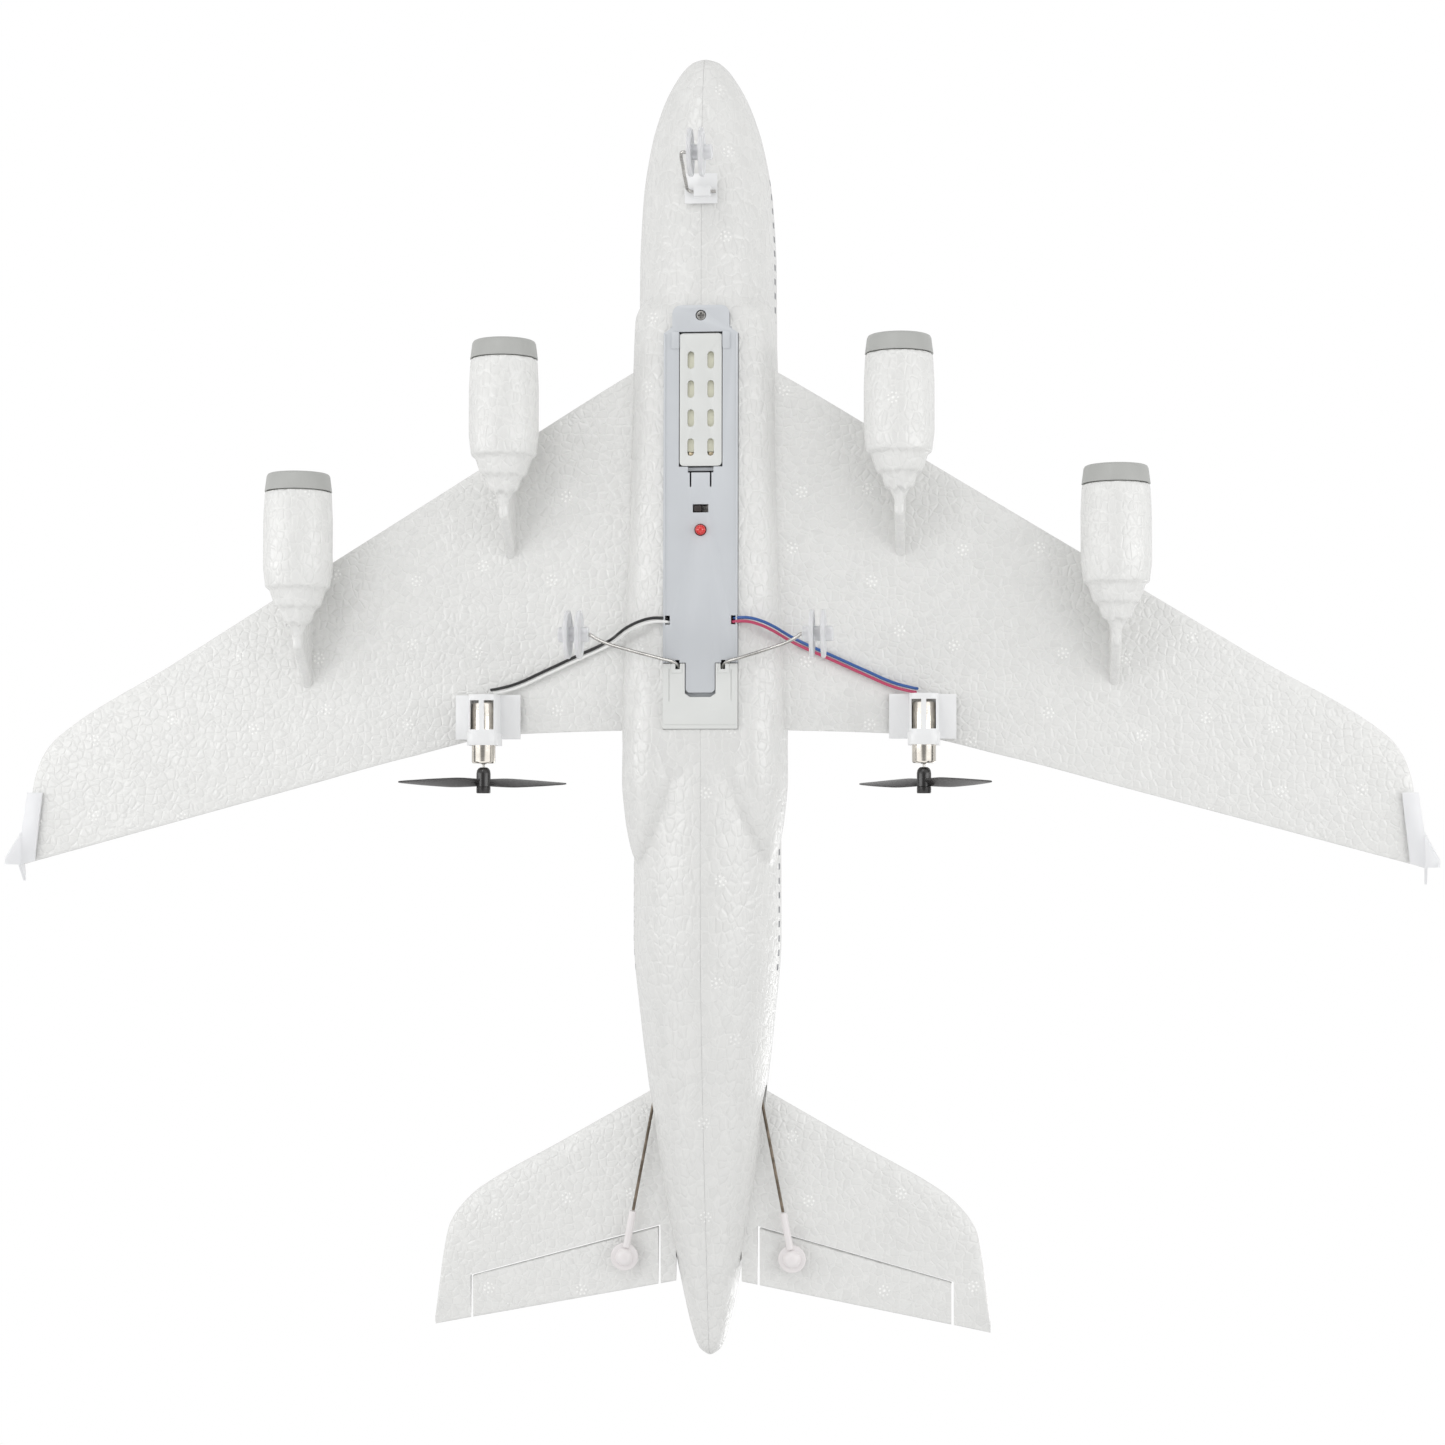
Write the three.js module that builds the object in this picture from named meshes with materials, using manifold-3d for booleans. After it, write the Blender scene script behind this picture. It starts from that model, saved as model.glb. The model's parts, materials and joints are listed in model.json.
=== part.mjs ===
// A small moulded-foam model aeroplane of the four-nacelle, double-deck airliner shape, with two
// pusher motors behind the wings, a plastic belly tray and a linked elevator.
// Millimetres. Nose towards -Y, left wing towards +X, +Z up, standing on its wheels at Z = 0.
import * as THREE from 'three';
import { mergeVertices } from 'three/addons/utils/BufferGeometryUtils.js';
import Module from 'manifold-3d';

const wasm = await Module();
wasm.setup();

// ---------------------------------------------------------------- driving dimensions
const GAP = 0.3; // clearance between neighbouring pieces
const DIHEDRAL = THREE.MathUtils.degToRad(5);
const SLOPE = Math.tan(DIHEDRAL);

const FOAM_WALL = 5;
// y, half width, keel height, spine height of the fuselage
const FUSELAGE = [
  [-236.5, 0, 44, 44],
  [-234.5, 5.6, 39.5, 50.5],
  [-229, 10.7, 36, 57.5],
  [-219, 16.2, 32.6, 66],
  [-205, 20.7, 30.2, 74.5],
  [-186, 23.8, 28.8, 81.6],
  [-160, 25.1, 28.1, 85.2],
  [-120, 25.3, 28, 86],
  [-40, 26.2, 28, 86],
  [40, 26.8, 28, 86],
  [83, 26.9, 29, 86],
  [112, 24.5, 32.6, 85.8],
  [145, 20.6, 39.6, 85.2],
  [178, 16, 48.4, 84],
  [208, 10.7, 57, 82],
  [226, 6.8, 62.4, 79.6],
  [233.5, 4, 65.4, 76.6],
  [236.5, 0, 70.5, 70.5],
];
// y, half width, bottom, top of the belly fairing that carries the wings
const FAIRING = [
  [-152, 20, 36, 60],
  [-140, 25.4, 28.6, 64],
  [-125, 26, 27.7, 66],
  [-60, 27.8, 27.4, 66],
  [11, 29.8, 27.4, 66],
  [25, 29.8, 30.8, 66],
  [40, 28.4, 37, 64],
  [50, 26.4, 43, 62],
  [58, 22, 50, 60],
];
const FAIRING_SQUARENESS = 3;

// x, leading edge y, trailing edge y, thickness of the wing
const WING = [
  [20, -124.3, 8.2, 12],
  [31, -118.2, 8.4, 11.6],
  [69.8, -94.9, 9.6, 10.2],
  [109, -71.3, 17.8, 8.8],
  [150, -46.7, 28.7, 7.4],
  [200, -16.6, 42, 6],
  [243.4, 9.5, 53.6, 4.8],
  [249.4, 16.8, 55.2, 4.4],
  [252.4, 25, 56, 4.1],
  [254.2, 36, 56.5, 3.9],
  [255.6, 46, 56.9, 3.6],
  [256.2, 52, 57, 3.2],
];
const WING_ROOT_X = 30;
const WING_ROOT_Z = 38; // underside at the root

// x, leading edge y, trailing edge y, thickness of the tailplane
const TAILPLANE = [
  [6, 130.4, 207.2, 5.6],
  [22, 139.6, 210.5, 5.2],
  [55, 158.5, 217.2, 4.6],
  [85, 175.7, 223.3, 4],
  [91.1, 181, 224.5, 3.8],
  [97.2, 189.7, 225.8, 3.6],
  [99.1, 198, 226.2, 3.4],
  [101.2, 214, 226.6, 3.2],
  [102.4, 224, 226.9, 3],
];
const TAILPLANE_ROOT_X = 15;
const TAILPLANE_ROOT_Z = 65; // mid thickness at the root
const HINGE_IN = [18.6, 188.8]; // inner and outer ends of the elevator's hinge line
const HINGE_OUT = [88.1, 208.5];
const HINGE_GAP = 1.1;
const ELEVATOR_END_GAP = 0.9;

// z, leading edge y, trailing edge y, thickness of the fin
const FIN = [
  [80, 118, 208, 6.4],
  [87, 136, 209.5, 6.2],
  [93, 147, 210.6, 6],
  [120, 168, 214, 5.2],
  [146, 188.5, 217.4, 4.4],
  [153, 194.5, 218.2, 4],
  [156.5, 200, 218, 3.4],
  [158, 206, 216.5, 2.6],
];

// x, front y and drop of the axis below the wing, of each nacelle
const NACELLES = { inner: [70.6, -130.6, 16], outer: [146.8, -84.5, 16] };
const NACELLE_RADIUS = 12.5;
const RING_LENGTH = 6.4;
const NACELLE_LENGTH = 60;
const PYLON_WIDTH = 3.6;
const INTAKE_BORE = 2.4; // how far inside the outer radius the intake's hole starts

const MOTOR_X = 79;
const MOTOR_RADIUS = 4.25;
const MOTOR_FRONT_Y = -1.5;
const MOTOR_BACK_Y = 20.5;
const MOTOR_DROP = 7; // axis below the wing's underside
const MOUNT_PLATE = [24, 16, 1.2];
const PROP_RADIUS = 32.5;
const PROP_HUB_RADIUS = 2.55;
const PROP_HUB = [21.7, 31]; // y of its two ends
const PROP_PLANE_Y = 27.2;
// reach, chord, pitch in degrees and thickness of a blade
const BLADE = [
  [0.5, 3.6, 38, 1.4], [6, 5.4, 34, 1.1], [13, 7.2, 26, 0.9], [21, 6.6, 20, 0.8], [28, 4.6, 15, 0.7],
  [31.5, 2.4, 13, 0.6], [PROP_RADIUS, 0.8, 12, 0.5],
];
const PROP_REST_ANGLE = { left: 0.76, right: 0.56 };

const TRAY_BOTTOM = 27;
const TRAY_FLOOR = 1.7;
const TRAY_HALF_WIDTH = 13.3;
const TRAY_FRONT = -143;
const TRAY_BACK = 8.3;
const DOOR_HALF_WIDTH = 7.5;
const DOOR_FRONT = -133;
const DOOR_BACK = -85.4;
const DOOR_THICKNESS = 1.4;
const DOOR_HINGE = [-131.6, 28.4]; // y and z
const SLOT_ROWS = [-123.3, -112.9, -102.5, -92.1];
const SWITCH_Y = -70.2;
const LED_Y = -62.5;
const LED_RADIUS = 1.9;
const SCREW_Y = -139.4;
const SCREW_RADIUS = 1.75;
const BAY_WALL = 1.2;
const BAY_WALL_X = 10.4; // middle of the battery bay's side walls
const BAY_TOP = 39;
const CLAMP_FRONT = -14.9;
const TONGUE_HALF = 5.2; // the tray's rear tongue, which the gear clamp surrounds
const TONGUE_END = -4.6;
const LEAD_EXIT = [-32, -28.8]; // y of the leads' way out at the tray's side

const WHEEL_RADIUS = 8.5;
const DISC_THICKNESS = 1.6;
const DISC_OFFSET = 2;
const HUB_RADIUS = 2.7;
const WIRE_RADIUS = 0.6;
const MAIN_AXLE = [42.7, -24];
const NOSE_AXLE = [0, -193.4];
const NOSE_PEG = [-187.5, -182.5]; // y of the bracket's peg in the foam
const NOSE_PEG_TOP = 37;
const NOSE_BAR_Z = 25.7; // the wire's cross bar under the bracket
const NOSE_BAR_Y = -183.5;

const ROD_RADIUS = 0.55;
const BALL = [30.6, 199.5, 60.6]; // centre of the left ball link's socket
const ROD_FRONT = [1.7, 48, 56]; // where the left rod meets the servo's arm
const SERVO_AXIS = [48, 47]; // y and z of its output shaft

const LEAD_RADIUS = 0.55;
const LEAD_SPACING = 0.72; // from the pair's middle line to each lead
// the left pair's middle line, from the tray's side to the motor's front
const LEAD_ROUTE = [
  [11.6, -30.4, 28.2], [13.9, -30.5, 26.6], [17, -30.4, 26.2], [21, -29.4, 26.2], [25.6, -27.4, 27],
  [29.2, -25.4, 30.6], [32.2, -23.8, 35.2], [36, -22, 37.6], [46, -17.6, 38.5], [58, -12.2, 39.5],
  [68, -7.9, 40.2], [74, -6.2, 39.2], [76.4, -5.6, 36.8],
];

// ---------------------------------------------------------------- solids
function flipped(geometry) {
  const index = geometry.index.array;
  for (let i = 0; i < index.length; i += 3) {
    const swap = index[i];
    index[i] = index[i + 1];
    index[i + 1] = swap;
  }
  return geometry;
}

// The closed surface with shared corners, no thin leftovers and its faces pointing out.
function closed(geometry) {
  const bare = geometry.clone();
  bare.deleteAttribute('normal');
  bare.deleteAttribute('uv');
  const merged = mergeVertices(bare, 1e-4);
  const index = merged.index.array;
  const position = merged.attributes.position;
  const corner = [new THREE.Vector3(), new THREE.Vector3(), new THREE.Vector3()];
  const kept = [];
  let volume = 0;
  for (let i = 0; i < index.length; i += 3) {
    const [a, b, c] = index.slice(i, i + 3);
    if (a !== b && b !== c && c !== a) {
      kept.push(a, b, c);
      corner.forEach((v, k) => v.fromBufferAttribute(position, [a, b, c][k]));
      volume += corner[0].dot(corner[1].clone().cross(corner[2]));
    }
  }
  merged.setIndex(kept);
  return volume < 0 ? flipped(merged) : merged;
}

function solid(geometry) {
  const merged = closed(geometry);
  return new wasm.Manifold(new wasm.Mesh({
    numProp: 3,
    vertProperties: new Float32Array(merged.attributes.position.array),
    triVerts: new Uint32Array(merged.index.array),
  }));
}

function surface(body) {
  const mesh = body.getMesh();
  const geometry = new THREE.BufferGeometry();
  geometry.setAttribute('position', new THREE.BufferAttribute(mesh.vertProperties, 3));
  geometry.setIndex(new THREE.BufferAttribute(mesh.triVerts, 1));
  return geometry;
}

function box(x0, x1, y0, y1, z0, z1) {
  const geometry = new THREE.BoxGeometry(x1 - x0, y1 - y0, z1 - z0);
  return solid(geometry.translate((x0 + x1) / 2, (y0 + y1) / 2, (z0 + z1) / 2));
}

// A cylinder along an axis, from one end to the other.
function rod(axis, low, high, centre, radius, sides = 16) {
  const geometry = new THREE.CylinderGeometry(radius, radius, high - low, sides);
  const middle = (low + high) / 2;
  if (axis === 'x') {
    geometry.rotateZ(Math.PI / 2).translate(middle, centre[0], centre[1]);
  } else if (axis === 'z') {
    geometry.rotateX(Math.PI / 2).translate(centre[0], centre[1], middle);
  } else {
    geometry.translate(centre[0], middle, centre[1]);
  }
  return solid(geometry);
}

// A flat plate: an outline in X and Y with a thickness upwards from z.
function plate(shape, z, thickness, curveSegments = 4) {
  const geometry = new THREE.ExtrudeGeometry(shape, { depth: thickness, bevelEnabled: false, curveSegments });
  return solid(geometry.translate(0, 0, z));
}

function polygon(points) {
  return new THREE.Shape(points.map(([x, y]) => new THREE.Vector2(x, y)));
}

function roundedRectangle(x0, x1, y0, y1, r) {
  const shape = new THREE.Shape();
  shape.moveTo(x0 + r, y0);
  shape.lineTo(x1 - r, y0);
  shape.absarc(x1 - r, y0 + r, r, -Math.PI / 2, 0, false);
  shape.lineTo(x1, y1 - r);
  shape.absarc(x1 - r, y1 - r, r, 0, Math.PI / 2, false);
  shape.lineTo(x0 + r, y1);
  shape.absarc(x0 + r, y1 - r, r, Math.PI / 2, Math.PI, false);
  shape.lineTo(x0, y0 + r);
  shape.absarc(x0 + r, y0 + r, r, Math.PI, Math.PI * 1.5, false);
  return shape;
}

// A side profile in Y and Z with a width across X.
function sidePlate(points, x0, x1) {
  const geometry = new THREE.ExtrudeGeometry(polygon(points), { depth: x1 - x0, bevelEnabled: false });
  return solid(geometry.rotateX(Math.PI / 2).rotateZ(Math.PI / 2).translate(x0, 0, 0));
}

// A profile of [radius, length along the axis] turned about X or Y.
function turned(profile, axis, sides) {
  const points = profile.map(([radius, along]) => new THREE.Vector2(radius, along));
  const geometry = new THREE.LatheGeometry(points, sides);
  if (axis === 'x') {
    geometry.rotateZ(-Math.PI / 2);
  }
  return solid(geometry);
}

function tube(points, radius, steps, sides = 8) {
  const curve = new THREE.CatmullRomCurve3(points.map((p) => new THREE.Vector3(...p)), false, 'centripetal');
  const section = new THREE.Shape();
  section.absarc(0, 0, radius, 0, Math.PI * 2, false);
  return solid(new THREE.ExtrudeGeometry(section, { steps, extrudePath: curve, curveSegments: sides / 2 }));
}

// A loft through stations: each ring of a cylinder takes the section that place() gives it.
function loft(stations, sides, place) {
  const last = stations.length - 1;
  const geometry = new THREE.CylinderGeometry(1, 1, 1, sides, last);
  const position = geometry.attributes.position;
  for (let i = 0; i < position.count; i += 1) {
    const station = stations[Math.round((0.5 - position.getY(i)) * last)];
    const spot = place(station, position.getX(i), position.getZ(i));
    position.setXYZ(i, ...spot);
  }
  return solid(geometry);
}

// A rounded body along Y with pointed ends, on a smooth curve through its rows.
function spindle(rows, sides, rings, grow, squareness) {
  const smooth = (pick) => new THREE.CatmullRomCurve3(rows.map((row) => new THREE.Vector3(...pick(row))));
  const plan = smooth(([y, halfWidth]) => [y, halfWidth, 0]);
  const profile = smooth(([, , bottom, top]) => [bottom, top, 0]);
  const geometry = new THREE.SphereGeometry(1, sides, rings);
  const position = geometry.attributes.position;
  for (let i = 0; i < position.count; i += 1) {
    const along = 1 - Math.acos(THREE.MathUtils.clamp(position.getY(i), -1, 1)) / Math.PI;
    const { x: y, y: halfWidth } = plan.getPoint(along);
    const { x: bottom, y: top } = profile.getPoint(along);
    const radius = Math.hypot(position.getX(i), position.getZ(i));
    const turn = Math.atan2(position.getZ(i), position.getX(i));
    const reach = radius > 1e-6 ? 1 : 0;
    const round = (value) => Math.sign(value) * Math.abs(value) ** (2 / squareness);
    const across = reach * round(Math.cos(turn)) * Math.max(halfWidth + grow, 0.01);
    const height = reach * round(Math.sin(turn)) * Math.max((top - bottom) / 2 + grow, 0.01);
    position.setXYZ(i, across, y + (1 - reach) * Math.sign(along - 0.5) * grow, (top + bottom) / 2 + height);
  }
  return solid(geometry);
}

function union(bodies) {
  return bodies.reduce((whole, body) => whole.add(body));
}

function mirrored(body) {
  return body.mirror([1, 0, 0]);
}

// ---------------------------------------------------------------- the model and its finishes
const group = new THREE.Group();
const FINISH = {
  foam: [0xe2e2df, 0.62, 0],
  plastic: [0xd4d5d8, 0.35, 0],
  ring: [0xb4b5b2, 0.5, 0.1],
  frosted: [0xe2e3e7, 0.3, 0],
  steel: [0xa9a69f, 0.35, 0.9],
  can: [0x8d8478, 0.22, 1],
  black: [0x1d1c1c, 0.3, 0],
  dark: [0x302a28, 0.5, 0],
  led: [0xb33935, 0.2, 0],
  battery: [0xdedcc8, 0.5, 0],
  board: [0x2f6b45, 0.5, 0],
  blue: [0x2c4a86, 0.45, 0],
  red: [0xa83a52, 0.45, 0],
  white: [0xe6e6e4, 0.45, 0],
};

function add(name, body, finish) {
  const [color, roughness, metalness] = FINISH[finish];
  const geometry = surface(body);
  geometry.computeVertexNormals();
  const mesh = new THREE.Mesh(geometry, new THREE.MeshStandardMaterial({ color, roughness, metalness }));
  mesh.name = name;
  group.add(mesh);
}

function addPair(name, body, finish) {
  add(`${name}_left`, body, finish);
  add(`${name}_right`, mirrored(body), finish);
}

// ---------------------------------------------------------------- lifting surfaces
const sectionDepth = (c) => (
  2.969 * Math.sqrt(c) - 1.26 * c - 3.516 * c ** 2 + 2.843 * c ** 3 - 1.015 * c ** 4
);
const EDGE = 0.5; // half the thickness left at a trailing edge

// Height of a section's skin: share is the part of the thickness on this side of the chord.
function skin(chordPart, side, thickness, share) {
  const depth = Math.max(sectionDepth(chordPart), 0);
  return Math.sign(side) * (depth * thickness * share + EDGE * chordPart * Math.min(1, 4 * Math.abs(side)));
}

const WING_UPPER_SHARE = 0.8;
const wingUnderside = (x) => WING_ROOT_Z + (x - WING_ROOT_X) * SLOPE;

function wingSolid() {
  return loft(WING, 20, ([x, leading, trailing, thickness], front, side) => {
    const chordPart = (1 - front) / 2;
    const share = side > 0 ? WING_UPPER_SHARE : 1 - WING_UPPER_SHARE;
    const chordZ = wingUnderside(x) + (1 - WING_UPPER_SHARE) * thickness;
    return [x, leading + (trailing - leading) * chordPart, chordZ + skin(chordPart, side, thickness, share)];
  });
}

function tailplaneSolid() {
  return loft(TAILPLANE, 16, ([x, leading, trailing, thickness], front, side) => {
    const chordPart = (1 - front) / 2;
    const chordZ = TAILPLANE_ROOT_Z + (x - TAILPLANE_ROOT_X) * SLOPE;
    return [x, leading + (trailing - leading) * chordPart, chordZ + skin(chordPart, side, thickness, 0.5)];
  });
}

// The elevator's place in plan, grown by a clearance at its hinge line and at its two ends.
function elevatorPrism(hingeGap, endGap) {
  const slope = (HINGE_OUT[1] - HINGE_IN[1]) / (HINGE_OUT[0] - HINGE_IN[0]);
  const inner = HINGE_IN[0] - endGap;
  const outer = HINGE_OUT[0] + endGap;
  const hinge = (x) => HINGE_IN[1] + (x - HINGE_IN[0]) * slope - hingeGap;
  const outline = polygon([[inner, hinge(inner)], [outer, hinge(outer)], [outer, 260], [inner, 260]]);
  return plate(outline, 40, 60);
}

function buildWings(fuselage) {
  addPair('wing', wingSolid().subtract(fuselage), 'foam');
  const whole = tailplaneSolid().subtract(fuselage);
  addPair('tailplane', whole.subtract(elevatorPrism(HINGE_GAP / 2, ELEVATOR_END_GAP)), 'foam');
  addPair('elevator', whole.intersect(elevatorPrism(-HINGE_GAP / 2, 0)), 'foam');
  const fin = loft(FIN, 14, ([z, leading, trailing, thickness], front, side) => {
    const chordPart = (1 - front) / 2;
    return [skin(chordPart, side, thickness, 0.5), leading + (trailing - leading) * chordPart, z];
  });
  add('fin', fin.subtract(fuselage), 'foam');
}

// ---------------------------------------------------------------- fuselage
const FUSELAGE_RINGS = 34;

function fuselageOuter(grow) {
  const body = spindle(FUSELAGE, 20, FUSELAGE_RINGS, grow, 2);
  return body.add(spindle(FAIRING, 20, 16, grow, FAIRING_SQUARENESS));
}

function fuselageCavity() {
  const deep = FUSELAGE.filter(([, halfWidth]) => halfWidth > 2 * FOAM_WALL);
  return spindle(deep, 12, 22, -FOAM_WALL, 2);
}

function rodPassage() {
  const front = new THREE.Vector3(...ROD_FRONT);
  const back = new THREE.Vector3(...BALL);
  const points = [0.5, 0.85].map((part) => front.clone().lerp(back, part).toArray());
  return tube(points, 3, 1);
}

function buildFuselage() {
  const openings = [
    box(-TRAY_HALF_WIDTH - GAP, TRAY_HALF_WIDTH + GAP, TRAY_FRONT - GAP, TRAY_BACK + GAP, 15, 45),
    box(-3, 3, NOSE_PEG[0] - GAP, NOSE_PEG[1] + GAP, 20, NOSE_PEG_TOP + GAP),
    rodPassage(),
    mirrored(rodPassage()),
  ];
  const shell = fuselageOuter(0).subtract(fuselageCavity()).subtract(union(openings));
  addPair('fuselage', shell.intersect(box(GAP / 2, 60, -300, 300, 0, 200)), 'foam');
  add('nose_ballast', turned([[0, -219], [6, -219], [7.6, -209], [7.6, -203], [0, -203]], 'y', 12)
    .translate([0, 0, 52]), 'steel');
}

// ---------------------------------------------------------------- nacelles
function buildNacelles() {
  const wing = wingSolid();
  const clearOfWing = union([wing, wing.translate([0, 0, -GAP - 0.1]), wing.translate([0, -GAP - 0.1, 0])]);
  const r = NACELLE_RADIUS;
  for (const [place, [x, front, drop]] of Object.entries(NACELLES)) {
    const roof = wingUnderside(x);
    const axisZ = roof - drop;
    const start = RING_LENGTH + GAP;
    const shell = turned([
      [r - INTAKE_BORE, start], [r - 0.4, start], [r, 17], [r, 36], [r - 0.7, 42.5], [r - 1.7, 42.7],
      [r - 3.6, 49], [r - 4.8, 49.2], [r - 7, 55], [r - 8, 55.2], [1.4, NACELLE_LENGTH],
      [0, NACELLE_LENGTH], [0, 38],
      [r - 4, 34], [r - INTAKE_BORE, start],
    ], 'y', 20).translate([x, front, axisZ]);
    const back = front + NACELLE_LENGTH;
    const pylon = sidePlate([
      [front + 15, axisZ + r - 2], [front + 33, roof + 1.4], [back + 18, roof + 1.4], [back + 3, axisZ - 1],
      [back - 8, axisZ - 1], [front + 44, axisZ + 5],
    ], x - PYLON_WIDTH / 2, x + PYLON_WIDTH / 2);
    addPair(`nacelle_${place}`, shell.add(pylon.subtract(clearOfWing)), 'foam');
    const ring = turned([
      [r - 1.5, 0], [r - 0.9, 0.5], [r - 0.4, RING_LENGTH], [r - INTAKE_BORE, RING_LENGTH],
      [r - INTAKE_BORE, 0.8], [r - 2, 0], [r - 1.5, 0],
    ], 'y', 20);
    addPair(`intake_ring_${place}`, ring.translate([x, front, axisZ]), 'ring');
  }
}

// ---------------------------------------------------------------- wing tips
function buildTipFences() {
  const x = 254.6;
  const z = wingUnderside(x) - EDGE - GAP;
  const foot = plate(polygon([[-6, 30.4], [-0.2, 30.4], [2.6, 50], [2.9, 57.2], [-3.2, 55.8]]), -1, 1)
    .rotate([0, -5, 0]).translate([x, 0, z]);
  const upper = sidePlate([[45.5, -0.8], [60.4, 8.6], [63.2, 8.6], [57.6, -0.8]], 0, 0.9);
  const lower = sidePlate([[44, 0.9], [54.4, -6.6], [57, -6.6], [57.2, 0.9]], 0, 0.9);
  const fence = union([
    foot,
    upper.rotate([0, 8, 0]).translate([x + 2, 0, z - 0.2]),
    lower.rotate([0, -38, 0]).translate([x + 1.8, 0, z - 0.6]),
  ]);
  addPair('tip_fence', fence, 'frosted');
}

// ---------------------------------------------------------------- motors and propellers
const motorAxisZ = wingUnderside(MOTOR_X) - MOTOR_DROP;

function motorMount() {
  const [width, length, thickness] = MOUNT_PLATE;
  const clampWidth = 5.2;
  const collarWidth = 5.7;
  const top = MOTOR_DROP - GAP;
  const base = box(-width / 2, width / 2, -4.6, -4.6 + length, top - thickness, top).rotate([0, -5, 0]);
  const housing = (halfWidth, y0, y1) => {
    const outline = new THREE.Shape();
    outline.moveTo(halfWidth, 6);
    outline.lineTo(halfWidth, -1.5);
    outline.quadraticCurveTo(halfWidth, -5.6, halfWidth - 3, -5.6);
    outline.lineTo(3 - halfWidth, -5.6);
    outline.quadraticCurveTo(-halfWidth, -5.6, -halfWidth, -1.5);
    outline.lineTo(-halfWidth, 6);
    const extrusion = { depth: y1 - y0, bevelEnabled: false, curveSegments: 4 };
    const geometry = new THREE.ExtrudeGeometry(outline, extrusion);
    return solid(geometry.rotateX(Math.PI / 2).translate(0, y1, 0));
  };
  const windows = [-1, 1].map((side) => box(side * 2.6 - 1.7, side * 2.6 + 1.7, -2.3, 8.2, -9, 0));
  return union([base, housing(clampWidth, -4.4, 9.6), housing(collarWidth, 9.4, 13.8)])
    .subtract(rod('y', -2.6, 20, [0, 0], MOTOR_RADIUS + 0.3, 16))
    .subtract(box(-3.2, 3.2, -10, 0, -1, 2.6))
    .subtract(union(windows));
}

function propeller() {
  const blade = loft(BLADE, 8, ([reach, chord, pitchDegrees, thickness], front, side) => {
    const pitch = THREE.MathUtils.degToRad(pitchDegrees);
    const along = front * chord / 2;
    const proud = side * thickness / 2;
    return [
      reach,
      along * Math.sin(pitch) + proud * Math.cos(pitch),
      along * Math.cos(pitch) - proud * Math.sin(pitch),
    ];
  }).translate([0, PROP_PLANE_Y, 0]);
  const r = PROP_HUB_RADIUS;
  const [front, back] = PROP_HUB;
  const hub = turned([
    [0, front], [1.6, front], [2.3, front + 0.8], [r, front + 2.2], [r, back], [0, back],
  ], 'y', 14);
  const whole = union([hub, blade, blade.rotate([0, 180, 0])]);
  return whole.subtract(rod('y', front - 1, back - 1.6, [0, 0], 0.8, 8));
}

function buildMotors() {
  const centre = [MOTOR_X, 0, motorAxisZ];
  addPair('motor_mount', motorMount().translate(centre), 'plastic');
  const r = MOTOR_RADIUS;
  const can = turned([
    [0, MOTOR_FRONT_Y], [r - 0.4, MOTOR_FRONT_Y], [r, MOTOR_FRONT_Y + 0.4], [r, MOTOR_BACK_Y - 0.8],
    [r - 0.6, MOTOR_BACK_Y - 0.2], [1.2, MOTOR_BACK_Y], [0.8, MOTOR_BACK_Y - 3], [0, MOTOR_BACK_Y - 3],
  ], 'y', 16);
  addPair('motor', can.translate(centre), 'can');
  const shaft = rod('y', MOTOR_BACK_Y - 2.6, PROP_HUB[1] - 2, [0, 0], 0.5, 8);
  addPair('motor_shaft', shaft.translate(centre), 'steel');
  for (const [side, sign] of [['left', 1], ['right', -1]]) {
    const turn = THREE.MathUtils.radToDeg(PROP_REST_ANGLE[side]);
    const placed = propeller().rotate([0, turn, 0]).translate(centre);
    add(`propeller_${side}`, sign > 0 ? placed : mirrored(placed), 'black');
  }
}

// ---------------------------------------------------------------- belly tray
const trayRoof = TRAY_BOTTOM + TRAY_FLOOR;

function trayOutline() {
  const shape = new THREE.Shape();
  const tab = 10.2;
  const shoulder = TRAY_FRONT + 8;
  const w = TRAY_HALF_WIDTH;
  shape.moveTo(-tab + 3, TRAY_FRONT);
  shape.lineTo(tab - 3, TRAY_FRONT);
  shape.absarc(tab - 3, TRAY_FRONT + 3, 3, -Math.PI / 2, 0, false);
  shape.lineTo(tab, shoulder);
  shape.lineTo(w, shoulder + 2);
  shape.lineTo(w, CLAMP_FRONT - GAP);
  shape.lineTo(TONGUE_HALF, CLAMP_FRONT - GAP);
  shape.lineTo(TONGUE_HALF, TONGUE_END - 1);
  shape.lineTo(TONGUE_HALF - 1, TONGUE_END);
  shape.lineTo(1 - TONGUE_HALF, TONGUE_END);
  shape.lineTo(-TONGUE_HALF, TONGUE_END - 1);
  shape.lineTo(-TONGUE_HALF, CLAMP_FRONT - GAP);
  shape.lineTo(-w, CLAMP_FRONT - GAP);
  shape.lineTo(-w, shoulder + 2);
  shape.lineTo(-tab, shoulder);
  shape.lineTo(-tab, TRAY_FRONT + 3);
  shape.absarc(3 - tab, TRAY_FRONT + 3, 3, Math.PI, Math.PI * 1.5, false);
  return shape;
}

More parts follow.
